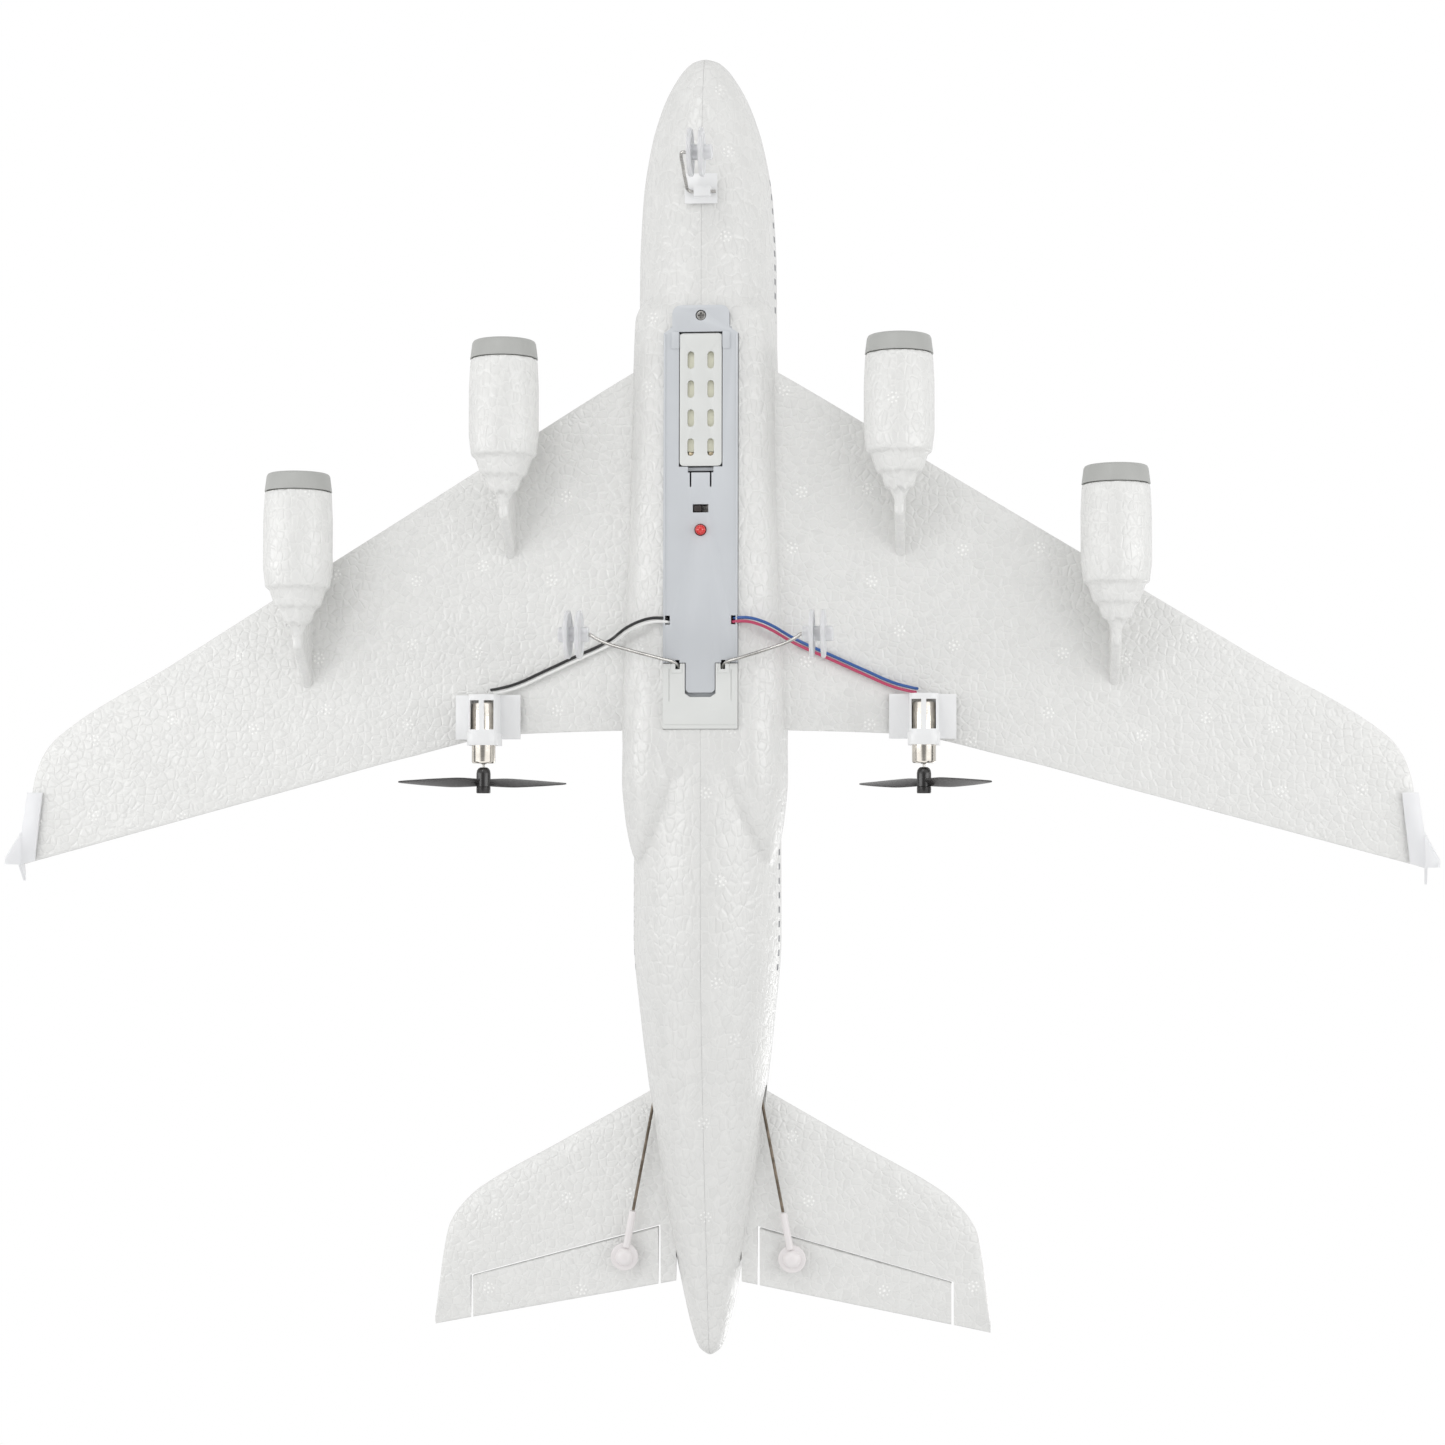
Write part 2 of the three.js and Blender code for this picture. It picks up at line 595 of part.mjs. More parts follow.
function chassisTray() {
  const floor = plate(trayOutline(), TRAY_BOTTOM, TRAY_FLOOR);
  const half = BAY_WALL / 2;
  const seat = trayRoof - 0.2;
  const [bayFront, bayBack, tailWall] = [-135.4, -84.4, -18.6];
  const ribs = [-BAY_WALL_X, BAY_WALL_X].map((x) => (
    box(x - half, x + half, bayFront, tailWall, seat, BAY_TOP)
  ));
  const endWalls = [bayFront, bayBack, tailWall].map((y) => (
    box(-BAY_WALL_X, BAY_WALL_X, y - half, y + half, seat, BAY_TOP - 1)
  ));
  const bayRoof = box(-BAY_WALL_X, BAY_WALL_X, bayFront, bayBack, BAY_TOP - 1, BAY_TOP);
  const beside = DOOR_HALF_WIDTH + GAP;
  const door = box(-beside, beside, DOOR_FRONT - 0.5, DOOR_BACK + GAP, 20, trayRoof + 0.1);
  const ears = [-9, 9].map((x) => box(x - 1.3, x + 1.3, DOOR_FRONT, DOOR_FRONT + 5, TRAY_BOTTOM, 31));
  const pinHole = rod('x', -9.7, 9.7, DOOR_HINGE, 0.9, 12);
  const cuts = [
    box(-4.6, 4.6, DOOR_BACK, -83, 20, trayRoof + 0.1), // latch slit
    box(-3.9, -3.3, -83.2, -77.9, 20, trayRoof + 0.1),
    box(3.3, 3.9, -83.2, -77.9, 20, trayRoof + 0.1),
    box(-2.8, 2.8, SWITCH_Y - 1.5, SWITCH_Y + 1.5, 20, trayRoof + 0.1),
    rod('z', 20, trayRoof + 1, [0, LED_Y], LED_RADIUS + 0.3, 16),
    rod('z', 20, trayRoof + 1, [0, SCREW_Y], SCREW_RADIUS + 0.2, 16),
    ...[-12.3, 12.3].map((x) => box(x - 1.4, x + 1.4, ...LEAD_EXIT, 26, trayRoof + 0.1)),
    ...[-BAY_WALL_X, BAY_WALL_X].map((x) => box(x - 1, x + 1, ...LEAD_EXIT, trayRoof - 0.3, 31)),
    ...[-9.6, 9.6].map((x) => box(x - 2.2, x + 2.2, -17, -15, 20, trayRoof + 0.1)), // gear wire
  ];
  return union([floor, ...ribs, ...endWalls, bayRoof]).subtract(door).add(union(ears)).subtract(pinHole)
    .subtract(union(cuts));
}

function batteryDoor() {
  const panel = plate(roundedRectangle(-DOOR_HALF_WIDTH, DOOR_HALF_WIDTH, DOOR_FRONT, DOOR_BACK, 1.4),
    TRAY_BOTTOM, DOOR_THICKNESS, 2);
  const barrel = rod('x', -DOOR_HALF_WIDTH, DOOR_HALF_WIDTH, DOOR_HINGE, 1.3, 12);
  const pin = rod('x', -9.4, 9.4, DOOR_HINGE, 0.6, 8);
  const notch = box(-10, 10, DOOR_FRONT - 1, DOOR_HINGE[0], TRAY_BOTTOM + DOOR_THICKNESS, 35);
  const frontEdge = sidePlate([
    [DOOR_FRONT - 0.1, TRAY_BOTTOM - 0.1], [DOOR_FRONT + 0.6, TRAY_BOTTOM - 0.1],
    [DOOR_FRONT - 0.1, TRAY_BOTTOM + 0.6],
  ], -10, 10); // lets the front edge swing past the tray
  const slots = SLOT_ROWS.flatMap((y) => [-3.55, 3.55].map((x) => (
    plate(roundedRectangle(x - 1.2, x + 1.2, y - 3.2, y + 3.2, 1.15), TRAY_BOTTOM - 1, 4, 1)
  )));
  return panel.add(barrel).subtract(notch).subtract(frontEdge).add(pin).subtract(union(slots));
}

function gearClamp() {
  const w = TRAY_HALF_WIDTH;
  const inner = TONGUE_HALF + GAP;
  const outline = polygon([
    [-w, CLAMP_FRONT], [-inner, CLAMP_FRONT], [-inner, TONGUE_END + GAP], [-3.7, TONGUE_END + 1.6],
    [3.7, TONGUE_END + 1.6], [inner, TONGUE_END + GAP], [inner, CLAMP_FRONT], [w, CLAMP_FRONT],
    [w, TRAY_BACK], [-w, TRAY_BACK],
  ]);
  const wireNotches = [-8.4, 8.4].map((x) => box(x - 2, x + 2, CLAMP_FRONT - 1, CLAMP_FRONT + 3.4, 20, 40));
  const heel = box(-w + 0.6, w - 0.6, 2, TRAY_BACK - 0.4, TRAY_BOTTOM, 34);
  return plate(outline, TRAY_BOTTOM - 0.5, 2.4).add(heel).subtract(union(wireNotches));
}

function buildTray() {
  add('chassis_tray', chassisTray(), 'plastic');
  add('battery_door', batteryDoor(), 'plastic');
  add('gear_clamp', gearClamp(), 'plastic');
  add('battery', plate(roundedRectangle(-7.4, 7.4, -129, -88, 1.5), 30.2, 6.8, 2), 'battery');
  for (const [side, x] of [['left', 3.55], ['right', -3.55]]) {
    const strip = sidePlate([
      [-94, 29.2], [-87.2, 29.2], [-87.2, 34], [-86.8, 34], [-86.8, 28.8], [-94, 28.8],
    ], x - 1, x + 1);
    add(`battery_contact_${side}`, strip, 'steel');
  }
  const board = union([
    box(-8.6, 8.6, -56, -33.6, 31, 32.2),
    box(-3, 3, -50, -44, 32.1, 33.4),
    box(-7, -3.6, -40, -36, 32.1, 34.6),
    box(3, 7, -54, -51, 32.1, 33.2),
  ]);
  add('receiver_board', board, 'board');
  const dome = LED_RADIUS;
  add('status_led', turned([
    [0, -3.9], [dome * 0.6, -3.5], [dome * 0.9, -2.7], [dome, -1.9], [dome, 1.6], [dome + 0.4, 1.6],
    [dome + 0.4, 2.4], [0, 2.4],
  ], 'y', 14).rotate([90, 0, 0]).translate([0, LED_Y, TRAY_BOTTOM + 1.9]), 'led');
  add('switch_housing', box(-4.6, 4.6, SWITCH_Y - 3, SWITCH_Y + 3, trayRoof + GAP, 34)
    .subtract(box(-2.8, 2.8, SWITCH_Y - 1.5, SWITCH_Y + 1.5, 20, 32.4)), 'steel');
  add('switch_slider', box(-2.4, 0.2, SWITCH_Y - 1.1, SWITCH_Y + 1.1, TRAY_BOTTOM + 0.5, 32), 'dark');
  const rim = SCREW_RADIUS;
  const head = turned([
    [0, 0], [rim - 0.15, 0], [rim, 0.3], [rim, 1.2], [0.9, 1.4], [0.9, 8], [0, 9],
  ], 'y', 12).rotate([90, 0, 0]).translate([0, SCREW_Y, TRAY_BOTTOM + 0.4]);
  const cross = box(-1.1, 1.1, SCREW_Y - 0.25, SCREW_Y + 0.25, 26, TRAY_BOTTOM + 1)
    .add(box(-0.25, 0.25, SCREW_Y - 1.1, SCREW_Y + 1.1, 26, TRAY_BOTTOM + 1));
  add('tray_screw', head.subtract(cross), 'steel');
}

// ---------------------------------------------------------------- landing gear
// A pair of discs on one hub, turned about X, open at its inner end for the axle.
function twinWheels(inner, outer) {
  const tyre = WHEEL_RADIUS;
  const half = DISC_THICKNESS / 2;
  const bore = WIRE_RADIUS + GAP;
  const disc = (at) => [
    [HUB_RADIUS, at - half], [tyre, at - half / 2], [tyre, at + half / 2], [HUB_RADIUS, at + half],
  ];
  return turned([
    [bore, inner], [HUB_RADIUS, inner], ...disc(-DISC_OFFSET), ...disc(DISC_OFFSET),
    [HUB_RADIUS, outer], [0, outer], [0, outer - 1], [bore, outer - 1], [bore, inner],
  ], 'x', 16);
}

function buildGear() {
  const [x, y] = MAIN_AXLE;
  const z = WHEEL_RADIUS;
  const side = [
    [x + 2.8, y, z], [x - 2, y, z], [x - 5.6, y, z], [x - 7.2, y + 1, z + 0.7],
    [x - 10, y + 2.4, z + 2.6], [25, -19.3, 16.2], [13.6, -16.5, 24.2], [9.4, -15.4, 26.6],
    [8, -14.2, 28.2], [8, -11, 30.1], [6.6, -8.6, 30.6],
  ];
  const across = [...side, [0, -8.4, 30.6], ...side.map(([px, py, pz]) => [-px, py, pz]).reverse()];
  add('main_gear_wire', tube(across, WIRE_RADIUS, 46), 'steel');
  addPair('main_wheels', twinWheels(-5.4, 5.4).translate([x, y, z]), 'frosted');

  const bracket = union([
    box(-5.8, 5.8, -190.4, -179.6, 26.9, 27.9),
    box(-2.6, 2.6, NOSE_PEG[0], NOSE_PEG[1], 27.8, NOSE_PEG_TOP),
    box(-2.4, 3.6, -185.2, -181.8, 24.2, 27),
  ]);
  const clearance = rod('x', -6, 8, [NOSE_BAR_Y, NOSE_BAR_Z], WIRE_RADIUS + 0.25, 10);
  add('nose_gear_bracket', bracket.subtract(clearance), 'plastic');
  const [nx, ny] = NOSE_AXLE;
  const route = [
    [5.4, NOSE_BAR_Y, NOSE_BAR_Z], [1, NOSE_BAR_Y, NOSE_BAR_Z], [-3, NOSE_BAR_Y, NOSE_BAR_Z],
    [-4.4, NOSE_BAR_Y - 0.5, NOSE_BAR_Z - 0.6], [-4.9, -186, 22], [-5.3, -190.4, 14],
    [-5.4, ny + 0.7, z + 1.4], [-5, ny, z], [-3.6, ny, z], [nx + 3, ny, z],
  ];
  add('nose_gear_wire', tube(route, WIRE_RADIUS, 24), 'steel');
  add('nose_wheels', twinWheels(-3.4, 5.8).translate([nx, ny, z]), 'frosted');
}

// ---------------------------------------------------------------- elevator linkage
function buildLinkage() {
  const ball = new THREE.Vector3(...BALL);
  const front = new THREE.Vector3(...ROD_FRONT);
  const along = ball.clone().sub(front).normalize();
  const at = (distance) => ball.clone().addScaledVector(along, -distance);
  const STUB = 17;
  const link = union([
    rod('z', BALL[2] - 0.4, BALL[2] + 1.4, [BALL[0], BALL[1]], 5, 18),
    turned([[0, -2.5], [2, -2.3], [3, -1.5], [3.15, 0], [0, 0]], 'y', 16).rotate([90, 0, 0]).translate(BALL),
    tube([at(STUB).toArray(), at(3.4).toArray()], 1.3, 1),
  ]);
  const socket = solid(new THREE.SphereGeometry(1.9, 12, 8)).add(rod('z', 0, 4, [0, 0], 1.75, 12));
  addPair('ball_link', link.subtract(socket.translate(BALL)), 'plastic');
  addPair('pushrod', tube([front.toArray(), at(STUB + GAP).toArray()], ROD_RADIUS, 1), 'steel');
  const underside = TAILPLANE_ROOT_Z + (BALL[0] - TAILPLANE_ROOT_X) * SLOPE - 1.6;
  const horn = union([
    box(-3.6, 3.4, -2.4, 2.4, 0.2, 0.9).rotate([0, -5, 0]).translate([BALL[0], BALL[1], underside - 1.6]),
    rod('z', BALL[2], underside - 1, [BALL[0], BALL[1]], 0.9, 10),
    solid(new THREE.SphereGeometry(1.5, 12, 8)).translate(BALL),
  ]);
  addPair('elevator_horn', horn, 'plastic');
  const [shaftY, shaftZ] = SERVO_AXIS;
  const servo = union([
    box(-10.4, -3, shaftY - 16, shaftY + 3.6, 36.6, 50),
    box(-10.4, -3, shaftY - 19, shaftY + 6.6, 44.4, 46),
    rod('x', -3.1, -1.2, SERVO_AXIS, 2.2, 12),
  ]);
  add('servo', servo.subtract(rod('x', -2, 0, SERVO_AXIS, 1.4, 10)), 'blue');
  const armTop = ROD_FRONT[2] + 1.6;
  const arm = sidePlate([
    [shaftY - 2.6, shaftZ - 2.4], [shaftY + 2.6, shaftZ - 2.4], [shaftY + 1.5, armTop],
    [shaftY - 1.5, armTop],
  ], -0.7, 0.7);
  add('servo_arm', arm.add(rod('x', -1.7, 0, SERVO_AXIS, 1.1, 10)), 'white');
}

// ---------------------------------------------------------------- motor leads
function leadTube(shift) {
  const points = LEAD_ROUTE.map(([x, y, z]) => [x - shift * 0.43, y + shift * 0.9, z]);
  return tube(points, LEAD_RADIUS, 27);
}

function buildLeads() {
  add('lead_blue', leadTube(-LEAD_SPACING), 'blue');
  add('lead_red', leadTube(LEAD_SPACING), 'red');
  add('lead_black', mirrored(leadTube(-LEAD_SPACING)), 'black');
  add('lead_white', mirrored(leadTube(LEAD_SPACING)), 'white');
}

buildFuselage();
buildWings(fuselageOuter(GAP));
buildNacelles();
buildTipFences();
buildMotors();
buildTray();
buildGear();
buildLinkage();
buildLeads();

export default group;
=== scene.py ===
"""The finished surfaces of a small moulded-foam model airliner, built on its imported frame.

The nose points to -Y, the left wing to +X and +Z is up. Every length is in metres.
"""
import json
import math

import bpy
from bpy.props import FloatProperty, FloatVectorProperty, PointerProperty
from mathutils import Matrix, Vector


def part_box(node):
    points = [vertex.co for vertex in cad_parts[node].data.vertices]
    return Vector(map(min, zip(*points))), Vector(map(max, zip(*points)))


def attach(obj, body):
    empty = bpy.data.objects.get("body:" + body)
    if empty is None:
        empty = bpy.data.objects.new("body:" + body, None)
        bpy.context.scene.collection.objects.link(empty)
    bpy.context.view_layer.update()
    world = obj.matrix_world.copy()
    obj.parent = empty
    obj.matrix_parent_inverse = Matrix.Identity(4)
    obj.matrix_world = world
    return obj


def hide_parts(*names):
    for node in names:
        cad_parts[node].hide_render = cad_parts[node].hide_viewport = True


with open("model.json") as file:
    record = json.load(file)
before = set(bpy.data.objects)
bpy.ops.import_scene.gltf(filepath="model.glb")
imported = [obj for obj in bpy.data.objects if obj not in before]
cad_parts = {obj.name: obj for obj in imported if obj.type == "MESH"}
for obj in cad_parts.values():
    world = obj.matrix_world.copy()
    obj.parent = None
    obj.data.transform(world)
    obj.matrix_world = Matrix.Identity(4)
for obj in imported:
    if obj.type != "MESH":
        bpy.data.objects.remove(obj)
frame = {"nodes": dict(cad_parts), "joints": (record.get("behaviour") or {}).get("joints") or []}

bl_info = {
    "name": "Foam Airliner Maker",
    "version": (1, 0, 0),
    "blender": (4, 5, 0),
    "location": "View3D > Sidebar > Airliner",
    "description": "Models and finishes the pieces of a moulded-foam model airliner",
    "category": "Add Mesh",
}

MM = 0.001
SLOPE = math.tan(math.radians(5))  # how fast the wings and the tailplane rise towards their tips
FOAM_WALL = 5
CLEARANCE = 0.3
SNUG = 0.15  # around the tray in its bay
SEAM = 0.03  # from the centre plane to each half's glued face

# y, half width, keel height, spine height of the fuselage, in millimetres
FUSELAGE = (
    (-236.5, 0, 44, 44), (-234.5, 5.6, 39.5, 50.5), (-229, 10.7, 36, 57.5), (-219, 16.2, 32.6, 66),
    (-205, 20.7, 30.2, 74.5), (-186, 23.8, 28.8, 81.6), (-160, 25.1, 28.1, 85.2), (-120, 25.3, 28, 86),
    (-40, 26.2, 28, 86), (40, 26.8, 28, 86), (83, 26.9, 29, 86), (112, 24.5, 32.6, 85.8),
    (145, 20.6, 39.6, 85.2), (178, 16, 48.4, 84), (208, 10.7, 57, 82), (226, 6.8, 62.4, 79.6),
    (233.5, 4, 65.4, 76.6), (236.5, 0, 70.5, 70.5),
)
# y, half width, bottom, top of the belly fairing that carries the wings
FAIRING = (
    (-152, 20, 36, 60), (-140, 25.4, 28.6, 64), (-125, 26, 27.7, 66), (-60, 27.8, 27.4, 66),
    (11, 29.8, 27.4, 66), (22, 26.6, 28.6, 64), (31, 21, 32, 60), (37, 15, 38, 54),
)
# y, half width, bottom, top, distance from the centre plane of the lobe behind each wing root
LOBE = (
    (-40, 9, 31, 62, 16), (-10, 11.6, 28.6, 64, 17), (11, 12.4, 27.4, 65, 17.4), (25, 12, 27.8, 64, 18),
    (38, 9.6, 30.4, 61, 19.4), (48, 6.6, 34.6, 57, 20.8), (55, 3.4, 40, 52, 21.8), (58, 0, 45, 45, 22.2),
)
# x, leading edge y, trailing edge y, thickness of the wing
WING = (
    (20, -124.3, 8.2, 12), (31, -118.2, 8.4, 11.6), (69.8, -94.9, 9.6, 10.2), (109, -71.3, 17.8, 8.8),
    (150, -46.7, 28.7, 7.4), (200, -16.6, 42, 6), (243.4, 9.5, 53.6, 4.8), (249.4, 16.8, 55.2, 4.4),
    (252.4, 25, 56, 4.1), (254.2, 36, 56.5, 3.9), (255.6, 46, 56.9, 3.6), (256.2, 52, 57, 3.2),
)
WING_ROOT = (30, 38)  # x, height of the underside
WING_UPPER_SHARE = 0.8
# x, leading edge y, trailing edge y, thickness of the tailplane
TAILPLANE = (
    (6, 130.4, 207.2, 5.6), (22, 139.6, 210.5, 5.2), (55, 158.5, 217.2, 4.6), (85, 175.7, 223.3, 4),
    (91.1, 181, 224.5, 3.8), (97.2, 189.7, 225.8, 3.6), (99.1, 198, 226.2, 3.4), (101.2, 214, 226.6, 3.2),
    (102.4, 224, 226.9, 3),
)
TAILPLANE_ROOT = (15, 65)  # x, height of the middle of the thickness
HINGE_IN = (18.6, 188.8)
HINGE_OUT = (88.1, 208.5)
HINGE_GAP = 1.1
HINGE_SLOPE = (HINGE_OUT[1] - HINGE_IN[1]) / (HINGE_OUT[0] - HINGE_IN[0])
ELEVATOR_END_GAP = 0.9
LIP = 0.45  # how far the elevator's thin lip stands forward
LIP_THICKNESS = 0.68  # as a share of the elevator's own
# z, leading edge y, trailing edge y, thickness of the fin
FIN = (
    (80, 118, 208, 6.4), (87, 136, 209.5, 6.2), (93, 147, 210.6, 6), (120, 168, 214, 5.2),
    (146, 188.5, 217.4, 4.4), (153, 194.5, 218.2, 4), (156.5, 200, 218, 3.4), (158, 206, 216.5, 2.6),
)
EDGE = 0.5  # half the thickness left at a trailing edge

# the left pair of motor leads, from the tray's side to the motor's front
LEAD_ROUTE = (
    (11.6, -30.4, 28.2), (13.9, -30.5, 26.6), (17, -30.4, 26.2), (21, -29.4, 26.2), (25.6, -27.4, 27),
    (29.2, -25.4, 30.6), (32.2, -23.8, 35.2), (36, -22, 37.6), (46, -17.6, 38.5), (58, -12.2, 39.5),
    (68, -7.9, 40.2), (74, -6.2, 39.2), (76.4, -5.6, 36.8),
)
LEAD_SPACING = 0.72
ROD_FRONT = Vector((1.7, 48, 56))  # the left pushrod's end at the servo arm
ROD_BACK = Vector((30.6, 199.5, 60.6))  # the ball it ends on

JOINTS = {joint["name"]: joint for joint in frame["joints"]}


def joint_at(name):
    """Where a joint sits, in millimetres."""
    return Vector(JOINTS[name]["pos_m"]) / MM


def frame_box(node):
    """The two corners of a frame part's box, in millimetres."""
    return [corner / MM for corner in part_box(node)]


# ---- settings
def colour(label, text, default):
    return FloatVectorProperty(
        name=label, description=text, subtype="COLOR", size=3, min=0, max=1, default=default)


def length(label, text, default):
    return FloatProperty(name=label, description=text, unit="LENGTH", min=0, default=default)


class FoamSettings(bpy.types.PropertyGroup):
    tint: colour("Foam", "Colour of the foam between its bead edges", (0.735, 0.735, 0.722))
    bead: length("Bead size", "Distance across one bead of the foam", 2.9 * MM)
    grid: length("Surface spacing", "Spacing of the moulded surface's mesh", 0.95 * MM)
    fine_grid: length("Nacelle spacing", "Spacing of the mesh on the small nacelles", 0.7 * MM)


class PlasticSettings(bpy.types.PropertyGroup):
    tray: colour("Tray", "Colour of the belly tray", (0.56, 0.58, 0.605))
    door: colour("Door", "Colour of the battery door", (0.68, 0.69, 0.675))
    mount: colour("Motor mounts", "Colour of the motor clamps and the nose leg's bracket", (0.8, 0.805, 0.81))
    ring: colour("Intake rings", "Colour of the grey film on the intakes", (0.41, 0.415, 0.4))
    frosted: colour("Frosted parts", "Colour of the wing tips' fences and the wheels", (0.93, 0.935, 0.95))
    edge: length("Edge radius", "Rounding of moulded edges", 0.25 * MM)


class MetalSettings(bpy.types.PropertyGroup):
    steel: colour("Steel", "Colour of the wires, screws and contacts", (0.5, 0.49, 0.47))
    can: colour("Motor can", "Colour of the motors' cans", (0.72, 0.68, 0.62))
    wire: length("Wire radius", "Radius of the landing gear's wires", 0.6 * MM)
    rod: length("Pushrod radius", "Radius of the pushrods", 0.55 * MM)


class PropellerSettings(bpy.types.PropertyGroup):
    smoke: colour("Smoked plastic", "Colour of the propellers", (0.008, 0.0075, 0.0075))
    opacity: FloatProperty(
        name="Blade opacity", description="How much of the light a blade stops", subtype="FACTOR",
        min=0, max=1, default=0.86)


class LeadSettings(bpy.types.PropertyGroup):
    radius: length("Lead radius", "Radius of a motor lead", 0.55 * MM)
    blue: colour("Blue lead", "Left motor, front lead", (0.03, 0.1, 0.32))
    red: colour("Red lead", "Left motor, rear lead", (0.48, 0.05, 0.12))
    black: colour("Black lead", "Right motor, front lead", (0.012, 0.012, 0.013))
    white: colour("White lead", "Right motor, rear lead", (0.8, 0.8, 0.79))


class StageSettings(bpy.types.PropertyGroup):
    floor: colour("Floor", "Colour of the floor", (0.86, 0.86, 0.87))
    room: FloatProperty(
        name="Room light", description="Strength of the light from all sides", min=0, default=1.0)
    key: FloatProperty(
        name="Key light", description="Power of each side strip", unit="POWER", min=0, default=3.0)
    lens: FloatProperty(name="Lens", description="Focal length", unit="CAMERA", min=1, default=68.67)


# ---- modelling by hand
def deselect():
    if bpy.context.mode != "OBJECT":
        bpy.ops.object.mode_set(mode="OBJECT")
    bpy.ops.object.select_all(action="DESELECT")


def activate(piece):
    deselect()
    piece.select_set(True)
    bpy.context.view_layer.objects.active = piece


def edit_selected(piece):
    activate(piece)
    bpy.ops.object.mode_set(mode="EDIT")


def edit(piece):
    edit_selected(piece)
    bpy.ops.mesh.select_all(action="SELECT")


def leave_edit():
    bpy.ops.object.mode_set(mode="OBJECT")


def tidy_skin(piece):
    """Merges doubled corners and points every face outwards."""
    edit(piece)
    bpy.ops.mesh.remove_doubles(threshold=0.001 * MM)
    bpy.ops.mesh.normals_make_consistent(inside=False)
    leave_edit()
    return piece


def modify(piece, kind, **settings):
    """Adds a modifier, sets it and applies it."""
    activate(piece)
    modifier = piece.modifiers.new(kind.title(), kind)
    for key, value in settings.items():
        setattr(modifier, key, value)
    bpy.ops.object.modifier_apply(modifier=modifier.name)
    return piece


def combine(piece, tool, operation):
    """Joins, cuts or keeps what piece shares with a tool piece, which is used up."""
    modify(piece, "BOOLEAN", object=tool, operation=operation, solver="EXACT")
    bpy.data.objects.remove(tool)
    return piece


def rounded(piece, width, segments=2, angle=35):
    return modify(piece, "BEVEL", width=width, segments=segments, limit_method="ANGLE",
                  angle_limit=math.radians(angle), use_clamp_overlap=True, harden_normals=False)


def resurfaced(piece, spacing, smoothing):
    """The moulded skin: an even mesh over the whole shape, with its creases softened."""
    modify(piece, "REMESH", mode="VOXEL", voxel_size=spacing)
    return modify(piece, "SMOOTH", factor=0.5, iterations=smoothing)


def block(low, high):
    """A box between two corners, in millimetres."""
    deselect()
    bpy.ops.mesh.primitive_cube_add(size=1)
    piece = bpy.context.object
    low, high = Vector(low) * MM, Vector(high) * MM
    edit(piece)
    bpy.ops.transform.resize(value=high - low)
    bpy.ops.transform.translate(value=(high + low) / 2)
    leave_edit()
    return piece


def chain(points):
    """A line of corners: one point, grown by extrusion to each next place."""
    deselect()
    bpy.ops.mesh.primitive_plane_add(size=MM)
    piece = bpy.context.object
    edit(piece)
    bpy.ops.mesh.merge(type="CENTER")
    here = Vector((0, 0, 0))
    for index, point in enumerate(points):
        step = Vector(point) * MM - here
        if index == 0:
            bpy.ops.transform.translate(value=step)
        else:
            bpy.ops.mesh.extrude_region_move(TRANSFORM_OT_translate={"value": step})
        here = Vector(point) * MM
    return piece


SPIN_AXES = {"x": (1, 0, 0), "y": (0, 1, 0), "z": (0, 0, 1)}


def spun(profile, axis="y", steps=64, at=(0, 0, 0)):
    """A profile of (radius, distance along the axis) turned all the way round, as in a lathe."""
    to_point = {
        "x": lambda radius, along: (along, radius, 0),
        "y": lambda radius, along: (radius, along, 0),
        "z": lambda radius, along: (radius, 0, along),
    }[axis]
    piece = chain([to_point(*row) for row in profile])
    bpy.ops.mesh.select_all(action="SELECT")
    bpy.ops.mesh.spin(steps=steps, angle=2 * math.pi, center=(0, 0, 0), axis=SPIN_AXES[axis])
    leave_edit()
    piece.data.transform(Matrix.Translation(Vector(at) * MM))
    return tidy_skin(piece)


def extruded(outline, step):
    """A flat outline, filled and extruded by one step."""
    piece = chain(outline)
    bpy.ops.mesh.select_all(action="SELECT")
    bpy.ops.mesh.edge_face_add()
    bpy.ops.mesh.extrude_region_move(TRANSFORM_OT_translate={"value": step})
    leave_edit()
    return tidy_skin(piece)


def slab(points, x0, x1):
    """A side profile in Y and Z, extruded across X."""
    return extruded([(x0, y, z) for y, z in points], ((x1 - x0) * MM, 0, 0))


def prism(points, z0, z1):
    """A plan outline in X and Y, extruded upwards."""
    return extruded([(x, y, z0) for x, y in points], (0, 0, (z1 - z0) * MM))


def wire(points, radius, roundness=3, smoothness=8):
    """Bent wire or insulated lead along points in millimetres."""
    deselect()
    bpy.ops.curve.primitive_bezier_curve_add()
    curve = bpy.context.object
    spline = curve.data.splines[0]
    spline.bezier_points.add(len(points) - 2)
    for knot, point in zip(spline.bezier_points, points):
        knot.co = Vector(point) * MM
        knot.handle_left_type = knot.handle_right_type = "AUTO"
    curve.data.bevel_depth = radius
    curve.data.bevel_resolution = roundness
    curve.data.resolution_u = smoothness
    curve.data.use_fill_caps = True
    activate(curve)
    bpy.ops.object.convert(target="MESH")
    return tidy_skin(bpy.context.object)


def mirrored(piece):
    """The same piece for the other side, with its own mesh."""
    twin = piece.copy()
    twin.data = piece.data.copy()
    bpy.context.scene.collection.objects.link(twin)
    twin.data.transform(Matrix.Scale(-1, 4, (1, 0, 0)))
    twin.data.flip_normals()
    return twin


